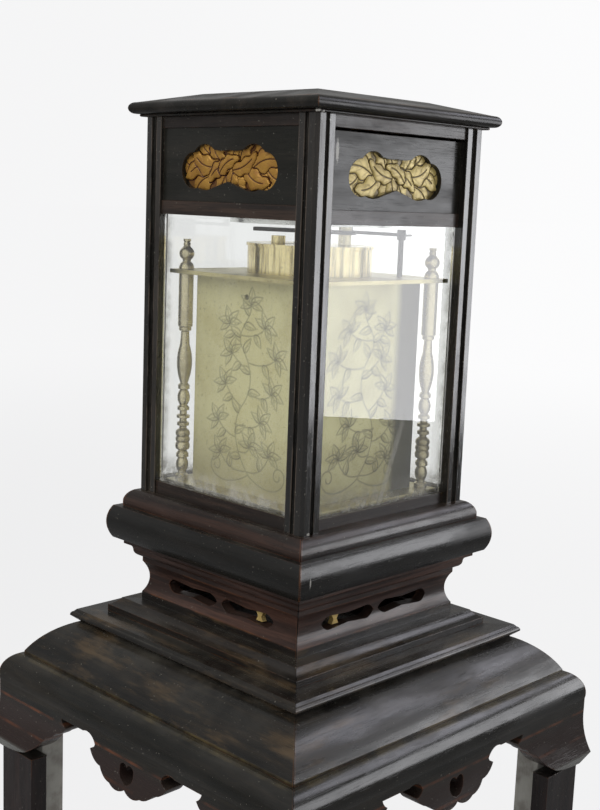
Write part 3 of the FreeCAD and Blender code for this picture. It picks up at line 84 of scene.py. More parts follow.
def flip(tree, share):
    """What a share leaves of one."""
    return reckon(tree, "SUBTRACT", 1.0, share)


def absolute(tree, value):
    """A number without its sign."""
    return reckon(tree, "ABSOLUTE", value)


def ramp(tree, value, low, high):
    """0 below low and 1 above high, with a smooth rise between."""
    ends = {"Value": value, "From Min": low, "From Max": high}
    return wire(tree, "MapRange", ends, interpolation_type="SMOOTHSTEP")


def tint(tree, share, under, over):
    """The colour over laid on the colour under, by a share from 0 to 1."""
    return wire(tree, "Mix", {0: share, 6: under, 7: over}, take=2, data_type="RGBA")


def cloud(tree, place, scale, detail=3.0, rough=0.55, warp=0.0):
    """Smooth random shades from 0 to 1, so many to the metre."""
    ways = {"Vector": place, "Scale": scale, "Detail": detail, "Roughness": rough, "Distortion": warp}
    return wire(tree, "TexNoise", ways)


def stretch(tree, place, factors):
    """A place multiplied along each of its three axes."""
    return wire(tree, "VectorMath", {0: place, 1: factors}, operation="MULTIPLY")


def effect(name, inputs, outputs):
    """An empty node group, with the sockets that its input and output nodes show."""
    tree = bpy.data.node_groups.new(name, "ShaderNodeTree")
    for label, kind in inputs:
        tree.interface.new_socket(label, in_out="INPUT", socket_type="NodeSocket" + kind)
    for label, kind in outputs:
        tree.interface.new_socket(label, in_out="OUTPUT", socket_type="NodeSocket" + kind)
    given = tree.nodes.new("NodeGroupInput").outputs
    return tree, given, tree.nodes.new("NodeGroupOutput").inputs


def use(tree, group, **sockets):
    """A node group placed in a material, with its own values."""
    return wire(tree, "Group", sockets, take=None, node_tree=group)


def here(tree):
    """The place on the piece, in metres."""
    return wire(tree, "TexCoord", take="Object")


def axes(tree, place=None):
    """The three coordinates of a place, or else of the place on the piece."""
    return wire(tree, "SeparateXYZ", {0: here(tree) if place is None else place}, take=None)


# Figure of the wood: slow dark and light bands along the grain, fine open pores across it, and
# the cloudy patches of old polish.
wood_figure, given, result = effect(
    "wood figure",
    [("Grain", "Vector"), ("Ground", "Color"), ("Band", "Color"), ("Polish", "Float")],
    [("Color", "Color"), ("Roughness", "Float"), ("Height", "Float"), ("Gloss", "Float")])
t = wood_figure
bands = ramp(t, cloud(t, stretch(t, given["Grain"], (6, 85, 85)), 1.0, 5.0, 0.62, 0.5), 0.42, 0.74)
streaks = ramp(t, cloud(t, stretch(t, given["Grain"], (14, 520, 520)), 1.0, 2.0), 0.5, 0.72)
pores = ramp(t, cloud(t, stretch(t, given["Grain"], (60, 2200, 2200)), 1.0, 1.0), 0.56, 0.7)
patches = cloud(t, stretch(t, given["Grain"], (9, 38, 38)), 1.0, 5.0, 0.62)
share = times_add(t, streaks, 0.22, times(t, bands, 0.55))
share = times_add(t, ramp(t, patches, 0.48, 0.75), 0.3, share, clamp=True)
deep = tint(t, times(t, pores, 0.5), tint(t, share, given["Ground"], given["Band"]), srgb(10, 8, 8))
t.links.new(deep, result["Color"])
dull = times_add(t, ramp(t, patches, 0.42, 0.66), 0.2, reckon(t, "SUBTRACT", given["Polish"], 0.06))
t.links.new(times_add(t, pores, 0.12, dull), result["Roughness"])
t.links.new(times_add(t, pores, -1.0, times(t, streaks, 0.3)), result["Height"])
lacquer = ramp(t, cloud(t, stretch(t, given["Grain"], (9, 30, 30)), 1.0, 4.0, 0.6), 0.4, 0.62)
t.links.new(times(t, lacquer, 0.22), result["Gloss"])

# Rubbed arris: along outer edges, where short rays into the solid soon come out again, the
# stain is worn through in broken lengths.
rubbed_arris, given, result = effect(
    "rubbed arris", [("Reach", "Float"), ("Lengths", "Float"), ("Amount", "Float")], [("Mask", "Float")])
t = rubbed_arris
open_edge = wire(t, "AmbientOcclusion", {"Distance": given["Reach"]}, take="AO", inside=True, samples=6)
edge = ramp(t, flip(t, open_edge), 0.12, 0.5)
broken = ramp(t, cloud(t, here(t), given["Lengths"], 3.0), 0.36, 0.62)
t.links.new(times(t, times(t, edge, broken), given["Amount"], clamp=True), result["Mask"])

# Settled dust: grey on faces that look up and in the hollows of mouldings.
settled_dust, given, result = effect(
    "settled dust", [("Level", "Float"), ("Hollow", "Float")], [("Mask", "Float")])
t = settled_dust
up = axes(t, wire(t, "NewGeometry", take="Normal"))["Z"]
shut = wire(t, "AmbientOcclusion", {"Distance": 0.008}, take="AO", samples=6)
level = times(t, ramp(t, up, 0.55, 0.98), given["Level"])
hollow = times(t, ramp(t, flip(t, shut), 0.3, 0.75), given["Hollow"])
drift = ramp(t, cloud(t, here(t), 26.0, 5.0, 0.6), 0.3, 0.8)
specks = ramp(t, cloud(t, here(t), 560.0, 1.0), 0.745, 0.77)
laid = times(t, reckon(t, "ADD", level, hollow), drift)
t.links.new(times_add(t, specks, 0.8, laid, clamp=True), result["Mask"])

# Upright grain runs up the piece; the other two axes go across it.
upright_grain, given, result = effect("upright grain", [], [("Grain", "Vector")])
t = upright_grain
parts = axes(t)
t.links.new(wire(t, "CombineXYZ", {"X": parts["Z"], "Y": parts["X"], "Z": parts["Y"]}), result["Grain"])


def finish_of(name, **plain):
    """A new material, its node tree and its surface's sockets; plain gives numbers that hold all over."""
    material = bpy.data.materials.new(name)
    material.use_nodes = True
    surface = material.node_tree.nodes["Principled BSDF"].inputs
    for key, value in plain.items():
        surface[key.replace("_", " ")].default_value = value
    return material, material.node_tree, surface


def emboss(tree, surface, height, strength, distance, **base):
    """Fine relief on a surface from a height, so strong and so many metres deep."""
    relief = {"Height": height, "Strength": strength, "Distance": distance, **base}
    tree.links.new(wire(tree, "Bump", relief), surface["Normal"])


def timber(name, grain, ground, band, polish, worn=(128, 78, 42), rubbed=0.5, level=0.25, hollow=0.35,
           shine=0.32, marks=None):
    """Dark polished hardwood: figure along the grain, worn arrises, then dust. marks adds what one piece
    alone shows."""
    material, tree, surface = finish_of(name, Specular_IOR_Level=shine, Coat_Roughness=0.08)
    figure = use(tree, wood_figure, Grain=use(tree, grain)["Grain"], Ground=srgb(*ground),
                 Band=srgb(*band), Polish=polish)
    colour, rough = figure["Color"], figure["Roughness"]
    arris = use(tree, rubbed_arris, Reach=0.0011, Lengths=38.0, Amount=rubbed)["Mask"]
    colour = tint(tree, arris, colour, srgb(*worn))
    if marks:
        colour = marks(tree, colour)
    dust = use(tree, settled_dust, Level=level, Hollow=hollow)["Mask"]
    tree.links.new(tint(tree, dust, colour, srgb(112, 108, 98)), surface["Base Color"])
    tree.links.new(times_add(tree, dust, 0.35, rough), surface["Roughness"])
    tree.links.new(times_add(tree, dust, -0.12, figure["Gloss"], clamp=True), surface["Coat Weight"])
    soft = wire(tree, "Bevel", {"Radius": 0.0007}, samples=4)
    emboss(tree, surface, figure["Height"], 0.12, 0.0002, Normal=soft)
    return material


def dress(material, *names):
    """Gives CAD nodes their finish."""
    for name in names:
        for slot in nodes[name].material_slots:
            slot.material = material


def painted_light_inside(tree, colour):
    """Painted light on the faces that look in, behind the aprons and inside the angle of each leg: they
    are lightened to a mottled pale grey for the light that falls on them.
    """
    side = axes(tree)
    far = reckon(tree, "MAXIMUM", absolute(tree, side["X"]), absolute(tree, side["Y"]))
    inside = flip(tree, ramp(tree, far, 0.1518, 0.1526))
    mottle = ramp(tree, cloud(tree, here(tree), 60.0, 4.0), 0.4, 0.7)
    # Painted light: the mottled pale grey laid on the faces that look in.
    lit_grey = tint(tree, mottle, srgb(172, 170, 162), srgb(138, 134, 126))
    return tint(tree, inside, colour, lit_grey)


leg_timber = timber("leg_timber", upright_grain, (30, 24, 24), (58, 42, 38), 0.3, rubbed=0.35,
                    marks=painted_light_inside)
dress(leg_timber, "leg_front_left", "leg_front_right", "leg_back_left", "leg_back_right")


# Aprons. Four thick boards, rounded over at the top and scrolled along the lower edge, meet in
# mitres at the corners. Each carries a pierced pendant and two flared lappets, whose necks are
# rubbed back to the bare reddish wood.
mitred_grain, given, result = effect("mitred grain", [], [("Grain", "Vector"), ("Height", "Float")])
t = mitred_grain
parts = axes(t)
wide, deep_in = absolute(t, parts["X"]), absolute(t, parts["Y"])
on_x = reckon(t, "GREATER_THAN", wide, deep_in)
along = times_add(t, reckon(t, "SUBTRACT", parts["Y"], parts["X"]), on_x, parts["X"])
along = times_add(t, on_x, 0.73, along)
out = reckon(t, "MAXIMUM", wide, deep_in)
t.links.new(wire(t, "CombineXYZ", {"X": along, "Y": out, "Z": parts["Z"]}), result["Grain"])
t.links.new(parts["Z"], result["Height"])

# A worn line: the broken band round one level, as far as its width.
worn_line, given, result = effect(
    "worn line", [("Value", "Float"), ("Centre", "Float"), ("Width", "Float"), ("Amount", "Float")],
    [("Mask", "Float")])
t = worn_line
off = absolute(t, reckon(t, "SUBTRACT", given["Value"], given["Centre"]))
off = reckon(t, "DIVIDE", off, given["Width"])
band = ramp(t, flip(t, off), 0.0, 0.8)
broken = ramp(t, cloud(t, here(t), 30.0, 4.0, 0.6), 0.36, 0.66)
t.links.new(times(t, times(t, band, broken), given["Amount"], clamp=True), result["Mask"])


def open_mitres(tree, colour):
    """A dark crack along the mitres, where the lengths have shrunk apart."""
    side = axes(tree)
    apart = reckon(tree, "SUBTRACT", absolute(tree, side["X"]), absolute(tree, side["Y"]))
    crack = flip(tree, ramp(tree, absolute(tree, apart), 0.0002, 0.001))
    return tint(tree, crack, colour, srgb(9, 8, 8))


def rubbed_necks_and_lip_sheen(tree, colour):
    """Red-brown wood on the hanging parts below the boards, orange lines where their flare begins, and a
    painted highlight: light grey along their lowest ends.
    """
    colour = open_mitres(tree, colour)
    height = use(tree, mitred_grain)["Height"]
    low = flip(tree, ramp(tree, height, 0.322, 0.336))
    colour = tint(tree, times(tree, low, 0.65), colour, srgb(52, 38, 35))
    # Painted highlight: the light-grey band along the lowest ends stands in for a reflection.
    lip_sheen = flip(tree, ramp(tree, height, 0.2945, 0.298))
    colour = tint(tree, times(tree, lip_sheen, 0.55), colour, srgb(120, 122, 116))
    for level, amount in ((0.3315, 0.4), (0.3105, 0.22)):
        line = use(tree, worn_line, Value=height, Centre=level, Width=0.0018, Amount=amount)["Mask"]
        colour = tint(tree, line, colour, srgb(150, 84, 46))
    seam = use(tree, worn_line, Value=height, Centre=0.3635, Width=0.0012, Amount=0.3)["Mask"]
    return tint(tree, seam, colour, srgb(120, 104, 66))


apron_timber = timber("apron_timber", mitred_grain, (25, 25, 22), (48, 42, 34), 0.23, rubbed=0.45,
                      marks=rubbed_necks_and_lip_sheen)
dress(apron_timber, "apron_front", "apron_back", "apron_left", "apron_right")


# Shoulder. A sloping, slightly hollowed moulding in four mitred lengths closes the top of the
# stand and carries the base board. Its polish has worn to olive-brown streaks along the grain.
def streaked_slope(tree, colour):
    """Olive-brown wear in long patches, and a light line where the slope meets the aprons."""
    colour = open_mitres(tree, colour)
    frame_of = use(tree, mitred_grain)
    patches = cloud(tree, stretch(tree, frame_of["Grain"], (9, 40, 40)), 1.0, 5.0, 0.66)
    worn = ramp(tree, patches, 0.5, 0.68)
    colour = tint(tree, times(tree, worn, 0.75), colour, srgb(90, 73, 51))
    seam = use(tree, worn_line, Value=frame_of["Height"], Centre=0.3655, Width=0.0014, Amount=0.45)["Mask"]
    return tint(tree, seam, colour, srgb(128, 112, 72))


shoulder_timber = timber("shoulder_timber", mitred_grain, (25, 24, 22), (52, 45, 36), 0.25, rubbed=0.5,
                         marks=streaked_slope)
dress(shoulder_timber, "stand_shoulder")


# Plinth mouldings. A base board, a stepped riser, a hollow frieze with a cloud fret, a cap, a
# heavy round moulding and a sill bead are stacked and glued, each mitred at the corners.
def length_of(tree, vector):
    """The length of a vector."""
    return wire(tree, "VectorMath", {0: vector}, take="Value", operation="LENGTH")


def scraped_round(tree, colour):
    """A pale upright scrape close to one corner of the round moulding."""
    off = wire(tree, "VectorMath", {0: here(tree), 1: (0.0985, 0.1085, 0.477)}, operation="SUBTRACT")
    away = length_of(tree, stretch(tree, off, (1400, 300, 260)))
    ragged = times_add(tree, cloud(tree, here(tree), 900.0, 3.0), 1.2, away)
    return tint(tree, flip(tree, ramp(tree, ragged, 1.1, 1.8)), colour, srgb(168, 166, 160))


board_timber = timber("board_timber", mitred_grain, (24, 23, 21), (50, 43, 35), 0.21, rubbed=0.75,
                      level=0.3, marks=streaked_slope)
riser_timber = timber("riser_timber", mitred_grain, (24, 22, 20), (54, 44, 36), 0.23, rubbed=0.5,
                      level=0.2, marks=streaked_slope)
hollow_timber = timber("hollow_timber", mitred_grain, (44, 32, 28), (104, 74, 62), 0.34, rubbed=0.4,
                       level=0.15, shine=0.22, marks=open_mitres)
round_timber = timber("round_timber", mitred_grain, (19, 19, 17), (36, 32, 28), 0.27, rubbed=0.35,
                      level=0.2, marks=scraped_round)
sill_timber = timber("sill_timber", mitred_grain, (32, 25, 22), (76, 53, 43), 0.27, worn=(140, 86, 58),
                     rubbed=0.7, level=0.2, marks=open_mitres)
dress(board_timber, "base_board")
dress(riser_timber, "base_step")
dress(hollow_timber, "cove_panels", "cove_cap")
dress(round_timber, "torus_moulding")
dress(sill_timber, "sill_bead")


# Plinth floor and movement seat. Plain boards let into the sill and never polished, brown and
# dusty; they show only through the glass and through the fret.
floor_timber = timber("floor_timber", mitred_grain, (74, 56, 42), (104, 82, 60), 0.55, rubbed=0.2,
                      level=0.7, hollow=0.6)
dress(floor_timber, "plinth_floor", "movement_seat")


# Fret studs. Small carved studs in the openings of the hollow frieze, water-gilt over a red
# clay ground that shows where the gold has worn.
def gilding(name, ground, gold, metal=0.4, cavity=None, shadow=(60, 30, 20)):
    """Gold leaf: a metal skin, worn to red clay in places, with painted shade dark in the cuts."""
    material, tree, surface = finish_of(name, Specular_IOR_Level=0.4)
    rub = ramp(tree, cloud(tree, here(tree), 210.0, 4.0, 0.65), 0.5, 0.72)
    tone = ramp(tree, cloud(tree, here(tree), 70.0, 3.0), 0.3, 0.7)
    leaf = tint(tree, tone, srgb(*gold), srgb(gold[0] + 22, gold[1] + 22, gold[2] + 14))
    colour = tint(tree, times(tree, rub, 0.4), leaf, srgb(*ground))
    metal = times_add(tree, rub, -0.6 * metal, metal)
    if cavity:
        # Painted shade: the shadow colour darkens the gilding where the cut values lie.
        cut = wire(tree, "Attribute", attribute_name=cavity, take="Fac")
        colour = tint(tree, ramp(tree, cut, 0.12, 0.7), colour, srgb(*shadow))
        metal = times(tree, metal, flip(tree, cut), clamp=True)
    tree.links.new(colour, surface["Base Color"])
    tree.links.new(metal, surface["Metallic"])
    tree.links.new(times_add(tree, rub, 0.25, 0.36), surface["Roughness"])
    emboss(tree, surface, cloud(tree, here(tree), 900.0, 3.0), 0.25, 0.0002)
    return material


dress(gilding("stud_gilding", (132, 92, 56), (196, 168, 104)), "fret_studs")


# Movement plates and turned pillars. Two square brass plates are held apart by four turned
# pillars, riveted below and nutted above with turned finials. The brass is old and uneven.
aged_brass, given, result = effect(
    "aged brass", [("Bright", "Color"), ("Dull", "Color"), ("Polish", "Float"), ("Grime", "Float")],
    [("Color", "Color"), ("Roughness", "Float"), ("Height", "Float")])
t = aged_brass
stain = ramp(t, cloud(t, here(t), 34.0, 5.0, 0.65), 0.4, 0.72)
specks = ramp(t, cloud(t, here(t), 420.0, 3.0), 0.58, 0.72)
brushed = cloud(t, stretch(t, here(t), (260, 260, 2600)), 1.0, 2.0)
# Darker in the corners and hollows: where short rays out of the surface soon meet something, the colour
# goes dark brown.
shut = wire(t, "AmbientOcclusion", {"Distance": 0.004}, take="AO", samples=6)
hollow_darkening = times(t, ramp(t, flip(t, shut), 0.35, 0.85), given["Grime"])
tone = tint(t, times(t, stain, 0.7), given["Bright"], given["Dull"])
tone = tint(t, times(t, specks, 0.35), tone, srgb(92, 74, 44))
t.links.new(tint(t, hollow_darkening, tone, srgb(48, 38, 24)), result["Color"])
rough = times_add(t, stain, 0.14, times_add(t, brushed, 0.1, given["Polish"]))
t.links.new(times_add(t, hollow_darkening, 0.3, rough), result["Roughness"])
t.links.new(times_add(t, specks, -0.6, brushed), result["Height"])


def brass(name, bright, dull, polish, hollow_darkening=0.8, metal=0.92):
    """Brass or another yellow metal, stained, specked and dark in its corners."""
    material, tree, surface = finish_of(name, Metallic=metal)
    skin = use(tree, aged_brass, Bright=srgb(*bright), Dull=srgb(*dull), Polish=polish, Grime=hollow_darkening)
    tree.links.new(skin["Color"], surface["Base Color"])
    tree.links.new(skin["Roughness"], surface["Roughness"])
    soft = wire(tree, "Bevel", {"Radius": 0.0004}, samples=4)
    emboss(tree, surface, skin["Height"], 0.08, 0.0001, Normal=soft)
    return material


plate_brass = brass("plate_brass", (190, 180, 132), (150, 138, 92), 0.3)
turned_brass = brass("turned_brass", (200, 191, 156), (140, 129, 97), 0.2, hollow_darkening=0.9)
dress(plate_brass, "bottom_plate", "top_plate")
dress(turned_brass, "corner_pillars", "finial_nuts")


# Engraved box panels and dial plate. Sheets of pale brass stand between the plates and shut in
# the trains. A graver has cut flowering sprays into them, in fine lines that hold dark wax.
def on_side(across, height, out, side):
    """Points on one side of the square plan: across runs to the right as the side is looked at,
    height is up and out is the distance from the middle; side is the outward direction."""
    across, height, out = np.broadcast_arrays(across, height, out)
    x = out * side[0] - across * side[1]
    y = out * side[1] + across * side[0]
    return np.stack([x, y, height], -1)


def closed_plate(face, depth):
    """Vertices and faces of a plate: a grid of points, rows going up and columns to the right,
    whose border is carried by the vector depth to one flat back face."""
    rows, columns = face.shape[:2]
    number = np.arange(rows * columns).reshape(rows, columns)
    cells = np.stack([number[:-1, :-1], number[:-1, 1:], number[1:, 1:], number[1:, :-1]], -1)
    cells = cells.reshape(-1, 4)
    rim = np.concatenate([number[0, :-1], number[:-1, -1], number[-1, :0:-1], number[:0:-1, 0]])
    points = face.reshape(-1, 3)
    back = len(points) + np.arange(len(rim))
    walls = np.stack([rim, back, np.roll(back, -1), np.roll(rim, -1)], -1)
    faces = [*cells.tolist(), *walls.tolist(), back[::-1].tolist()]
    return np.concatenate([points, points[rim] + depth]), faces


def new_piece(name, points, faces, material, body, marks=None):
    """An object at the origin from its points and faces. It rides on a body; marks are values on its
    points."""
    mesh = bpy.data.meshes.new(name)
    mesh.from_pydata(points.tolist(), [], faces)
    for label, values in (marks or {}).items():
        mesh.attributes.new(label, "FLOAT", "POINT").data.foreach_set("value", values.astype(np.float32))
    mesh.materials.append(material)
    piece = bpy.data.objects.new(name, mesh)
    bpy.context.scene.collection.objects.link(piece)
    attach(piece, body)
    return piece


def curve_points(stems, shares):
    """Places and directions on cubic curves, a curve to each four points, at given shares of their run."""
    p = np.array(stems, float)[:, :, None, :]
    s = np.asarray(shares, float)[None, :, None]
    r = 1 - s
    place = r ** 3 * p[:, 0] + 3 * s * r ** 2 * p[:, 1] + 3 * s ** 2 * r * p[:, 2] + s ** 3 * p[:, 3]
    way = r ** 2 * (p[:, 1] - p[:, 0]) + 2 * s * r * (p[:, 2] - p[:, 1]) + s ** 2 * (p[:, 3] - p[:, 2])
    return place, np.arctan2(way[..., 1], way[..., 0])


def leaf_cuts(place, turn, length, half, bend, count=56):
    """Cuts of many leaves or petals at once: across, up and depth. From its root each runs along its turn
    and bends aside with the square of its share of the length; an edge stands off by the half width times
    a sine. One edge is cut deep, the other finer, a midrib runs most of the way and two short strokes
    shade the root."""
    turn, length, half, bend = (
        np.broadcast_to(value, place.shape[:-1])[..., None, None] for value in (turn, length, half, bend))
    s = np.linspace(0, 1, count)[:, None]
    swell = half * np.sin(np.pi * s ** 0.8) ** 0.9
    side = bend * length * s ** 2 + swell * np.array([1.0, -1.0, 0.0, 0.5, -0.45])
    run = length * s * np.array([1.0, 1.0, 0.8, 0.55, 0.4])
    x = place[..., None, None, 0] + run * np.cos(turn) - side * np.sin(turn)
    y = place[..., None, None, 1] + run * np.sin(turn) + side * np.cos(turn)
    depth = (1.0 - 0.4 * s) * np.array([1.0, 0.7, 0.6, 0.6, 0.5]) + 0 * x
    return np.stack([x, y, depth], -1).reshape(-1, 3)


def graver_cuts(cuts, across, height, step, reach):
    """Depth from 0 to 1 of cut lines on a grid: each point of a line marks the grid points round it,
    deepest in the middle and gone at the reach."""
    depth = np.zeros((len(height), len(across)))
    near = np.arange(-3, 4)
    spot = (cuts[:, :2] - [across[0], height[0]]) / step
    rows, columns = np.meshgrid(near, near, indexing="ij")
    column = (np.rint(spot[:, 0])[:, None, None] + columns).astype(int)
    row = (np.rint(spot[:, 1])[:, None, None] + rows).astype(int)
    away = np.hypot(column - spot[:, 0, None, None], row - spot[:, 1, None, None]) * step
    inside = (column >= 0) & (row >= 0) & (column < len(across)) & (row < len(height))
    mark = np.clip(1.25 - away / reach, 0, 1) * cuts[:, 2, None, None]
    np.maximum.at(depth, (row[inside], column[inside]), mark[inside])
    return depth


# One spray, in millimetres from the middle of a panel's lower edge: the winding main stem, then the
# twigs that leave it to either side and end in a flower, then the curls at its foot. Below them, also in
# millimetres, are the step of the grid, the depth of a cut and its reach to either side.
MAIN_STEM = [
    [(4, 14), (-14, 34), (-16, 52), (-6, 66)], [(-6, 66), (8, 82), (4, 98), (-8, 112)],
    [(-8, 112), (-13, 122), (-2, 130), (1, 138)],
]
TWIGS = [
    [(2, 17), (12, 16), (20, 20), (25, 32)], [(0, 17), (-12, 15), (-22, 18), (-28, 28)],
    [(-12, 42), (-20, 43), (-26, 46), (-31, 53)], [(-13, 52), (-2, 50), (8, 50), (15, 56)],
    [(-6, 66), (-14, 70), (-19, 74), (-24, 82)], [(2, 77), (12, 73), (20, 74), (26, 79)],
    [(3, 92), (-4, 96), (-12, 100), (-18, 106)], [(1, 100), (10, 98), (21, 99), (29, 105)],
    [(-9, 115), (-15, 117), (-19, 122), (-21, 128)], [(-9, 120), (1, 119), (11, 121), (17, 127)],
    [(-9, 32), (-3, 30), (2, 31), (4, 36)], [(1, 138), (2, 140), (2, 141), (2, 143)],
]
CURLS = [
    [(4, 14), (20, 4), (38, 4), (42, 16)], [(42, 16), (44, 26), (31, 28), (31, 19)],
    [(31, 19), (31, 14), (38, 14), (37, 19)], [(2, 14), (-14, 4), (-34, 4), (-38, 15)],
    [(-38, 15), (-40, 25), (-28, 26), (-28, 18)], [(-28, 18), (-28, 13), (-35, 13), (-34, 18)],
]
GRID_STEP = 0.5
CUT_DEPTH = 0.05
CUT_REACH = 0.68


def spray(mirror=1.0, spread=1.0):
    """All the cuts of one spray: its stems, leaves to either side of them, and a flower of five petals at
    the tip of each twig."""
    lines = curve_points(MAIN_STEM + TWIGS + CURLS, np.linspace(0, 1, 120))[0].reshape(-1, 2)
    cuts = [np.column_stack([lines, np.full(len(lines), 0.62)])]
    for stems, shares, length in ((TWIGS[:-2], [0.5], 11.0), (MAIN_STEM, [0.22, 0.55, 0.88], 12.5)):
        place, way = curve_points(stems, shares)
        side = (-1.0) ** np.add.outer(np.arange(len(stems)), np.arange(len(shares)))
        cuts.append(leaf_cuts(place, way + 0.8 * side, length, 3.0, 0.3 * side))
    place, way = curve_points(TWIGS, [1.0])
    lean = np.array([0.0, 0.68, -0.68, 1.4, -1.4])
    petal = np.array([13.5, 12.5, 12.5, 11.5, 11.5])
    cuts.append(leaf_cuts(np.repeat(place, 5, 1), way + lean, petal, 0.25 * petal, 0.4 * np.sign(lean)))
    return np.concatenate(cuts) * [mirror * spread, 1.0, 1.0]


def engraved_sheet(node, side, cuts, hole=None):
    """A brass sheet in the place of a CAD panel. Its outer face is a fine grid that sinks along the cut
    lines, and into a small hole where there is one: its place across and up, and its radius."""
    low, high = (1000 * np.array(corner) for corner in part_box(node))
    wide_axis, thin_axis = (0, 1) if side[1] else (1, 0)
    reach = high[wide_axis]
    thick = high[thin_axis] - low[thin_axis]
    out = max(abs(np.dot(low[:2], side)), abs(np.dot(high[:2], side)))
    across = np.linspace(-reach, reach, int(2 * reach / GRID_STEP) + 1)
    height = np.linspace(low[2], high[2], int((high[2] - low[2]) / GRID_STEP) + 1)
    depth = graver_cuts(cuts + [0, low[2], 0], across, height, across[1] - across[0], CUT_REACH)
    bore = np.zeros_like(depth)
    if hole:
        away = np.hypot(across[None, :] - hole[0], height[:, None] - hole[1])
        bore = np.clip((hole[2] - away) / 0.4 + 0.5, 0, 1)
    sink = CUT_DEPTH * depth + 0.9 * thick * bore
    sink[[0, -1], :], sink[:, [0, -1]] = 0, 0
    face = on_side(across[None, :], height[:, None], out - sink, side)
    points, faces = closed_plate(face / 1000, np.array([-side[0], -side[1], 0]) * thick / 1000)
    shade = np.zeros(len(points))
    # Painted shade: the blind hole takes the dark wax colour, for the dark inside seen through it.
    shade[:depth.size] = np.maximum(depth, bore).ravel()
    piece = new_piece("engraved_" + node, points, faces, panel_brass, "base", {"cut": shade})
    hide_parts(node)


panel_brass, tree, surface = finish_of("panel_brass", Metallic=0.3, Specular_IOR_Level=0.15)
skin = use(tree, aged_brass, Bright=srgb(220, 213, 162), Dull=srgb(200, 190, 134), Polish=0.48, Grime=0.5)
cut = wire(tree, "Attribute", attribute_name="cut", take="Fac")
spot = axes(tree)
blotch = cloud(tree, here(tree), 24.0, 4.0, 0.6)
# Darker towards the foot of each panel, in blotches.
foot = times_add(tree, blotch, 0.05, spot["Z"])
lower_darkening = flip(tree, ramp(tree, foot, 0.535, 0.6))
colour = tint(tree, times(tree, lower_darkening, 0.45), skin["Color"], srgb(132, 120, 76))
# Painted shade: the back panel, seen through the loose side, is darkened overall, and its wax lines are a
# darker copy of the wax on the other panels.
back_side = ramp(tree, spot["Y"], 0.058, 0.0585)
colour = tint(tree, times(tree, back_side, 0.32), colour, srgb(110, 106, 62))
# Painted shade: a dark upright strip at the right-hand end of the back panel, as seen through the loose
# side.
shaded = flip(tree, ramp(tree, times_add(tree, blotch, 0.004, spot["X"]), -0.039, -0.029))
colour = tint(tree, times(tree, times(tree, shaded, back_side), 0.92), colour, srgb(52, 49, 33))
wax_and_painted_shade = tint(tree, back_side, srgb(84, 81, 62), srgb(38, 36, 25))
tree.links.new(tint(tree, times(tree, cut, 0.76), colour, wax_and_painted_shade), surface["Base Color"])
tree.links.new(times_add(tree, cut, 0.25, skin["Roughness"]), surface["Roughness"])
emboss(tree, surface, skin["Height"], 0.015, 0.0001)

engraved_sheet("box_panel_right", (1, 0), spray(), hole=(-4, 661.5, 2))
engraved_sheet("box_panel_back", (0, 1), spray(mirror=-1.0))
engraved_sheet("box_panel_left", (-1, 0), spray(mirror=-1.0, spread=0.96))

dial_brass, tree, surface = finish_of("dial_brass", Metallic=0.6, Specular_IOR_Level=0.4)
skin = use(tree, aged_brass, Bright=srgb(206, 194, 140), Dull=srgb(172, 156, 102), Polish=0.32, Grime=0.6)
low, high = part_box("dial_plate")
middle = (low + high) / 2
place = wire(tree, "VectorMath", {0: here(tree), 1: middle}, operation="SUBTRACT")
fold = axes(tree, wire(tree, "VectorMath", {0: place}, operation="ABSOLUTE"))
in_x = reckon(tree, "SUBTRACT", float(high[0] - middle[0]) - 0.004, fold["X"])
in_z = reckon(tree, "SUBTRACT", float(high[2] - middle[2]) - 0.004, fold["Z"])
radius = reckon(tree, "SQRT", times_add(tree, in_x, in_x, times(tree, in_z, in_z)))
petals = absolute(tree, reckon(tree, "SINE", times(tree, reckon(tree, "ARCTAN2", in_z, in_x), 8.0)))
cuts = []
for reach, swing in ((0.034, 0.008), (0.025, 0.012), (0.012, 0.005)):
    edge = times_add(tree, petals, swing, reach - swing)
    cuts.append(absolute(tree, reckon(tree, "SUBTRACT", radius, edge)))
cuts.append(absolute(tree, reckon(tree, "MINIMUM", in_x, in_z)))
near = cuts[0]
for line in cuts[1:]:
    near = reckon(tree, "MINIMUM", near, line)
cut = flip(tree, ramp(tree, near, 0.0002, 0.0006))
tree.links.new(tint(tree, times(tree, cut, 0.7), skin["Color"], srgb(70, 62, 42)), surface["Base Color"])
tree.links.new(times_add(tree, cut, 0.25, skin["Roughness"]), surface["Roughness"])
emboss(tree, surface, flip(tree, cut), 0.4, 0.0002)
dress(dial_brass, "dial_plate")


# Chapter ring and hand. A silvered ring is pinned to the dial plate; twelve bars and the short
# strokes between them are cut in it and waxed. The one hand is blued iron on the great arbor.
ring_silver, tree, surface = finish_of("ring_silver", Metallic=0.8)
low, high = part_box("chapter_ring")
middle = wire(tree, "VectorMath", {0: here(tree), 1: (low + high) / 2}, operation="SUBTRACT")
place = axes(tree, middle)
angle = reckon(tree, "ARCTAN2", place["X"], place["Z"])
radius = reckon(tree, "SQRT", times_add(tree, place["X"], place["X"], times(tree, place["Z"], place["Z"])))


def strokes(count, width, inner, outer):
    """Evenly turned strokes of one width between two radii."""
    turn = reckon(tree, "FRACT", times_add(tree, angle, count / (2 * math.pi), 20.5))
    away = times(tree, absolute(tree, reckon(tree, "SUBTRACT", turn, 0.5)), radius)
    near = reckon(tree, "LESS_THAN", times(tree, away, 2 * math.pi / count), width)
    past = reckon(tree, "GREATER_THAN", radius, inner)
    return times(tree, near, times(tree, past, reckon(tree, "LESS_THAN", radius, outer)))


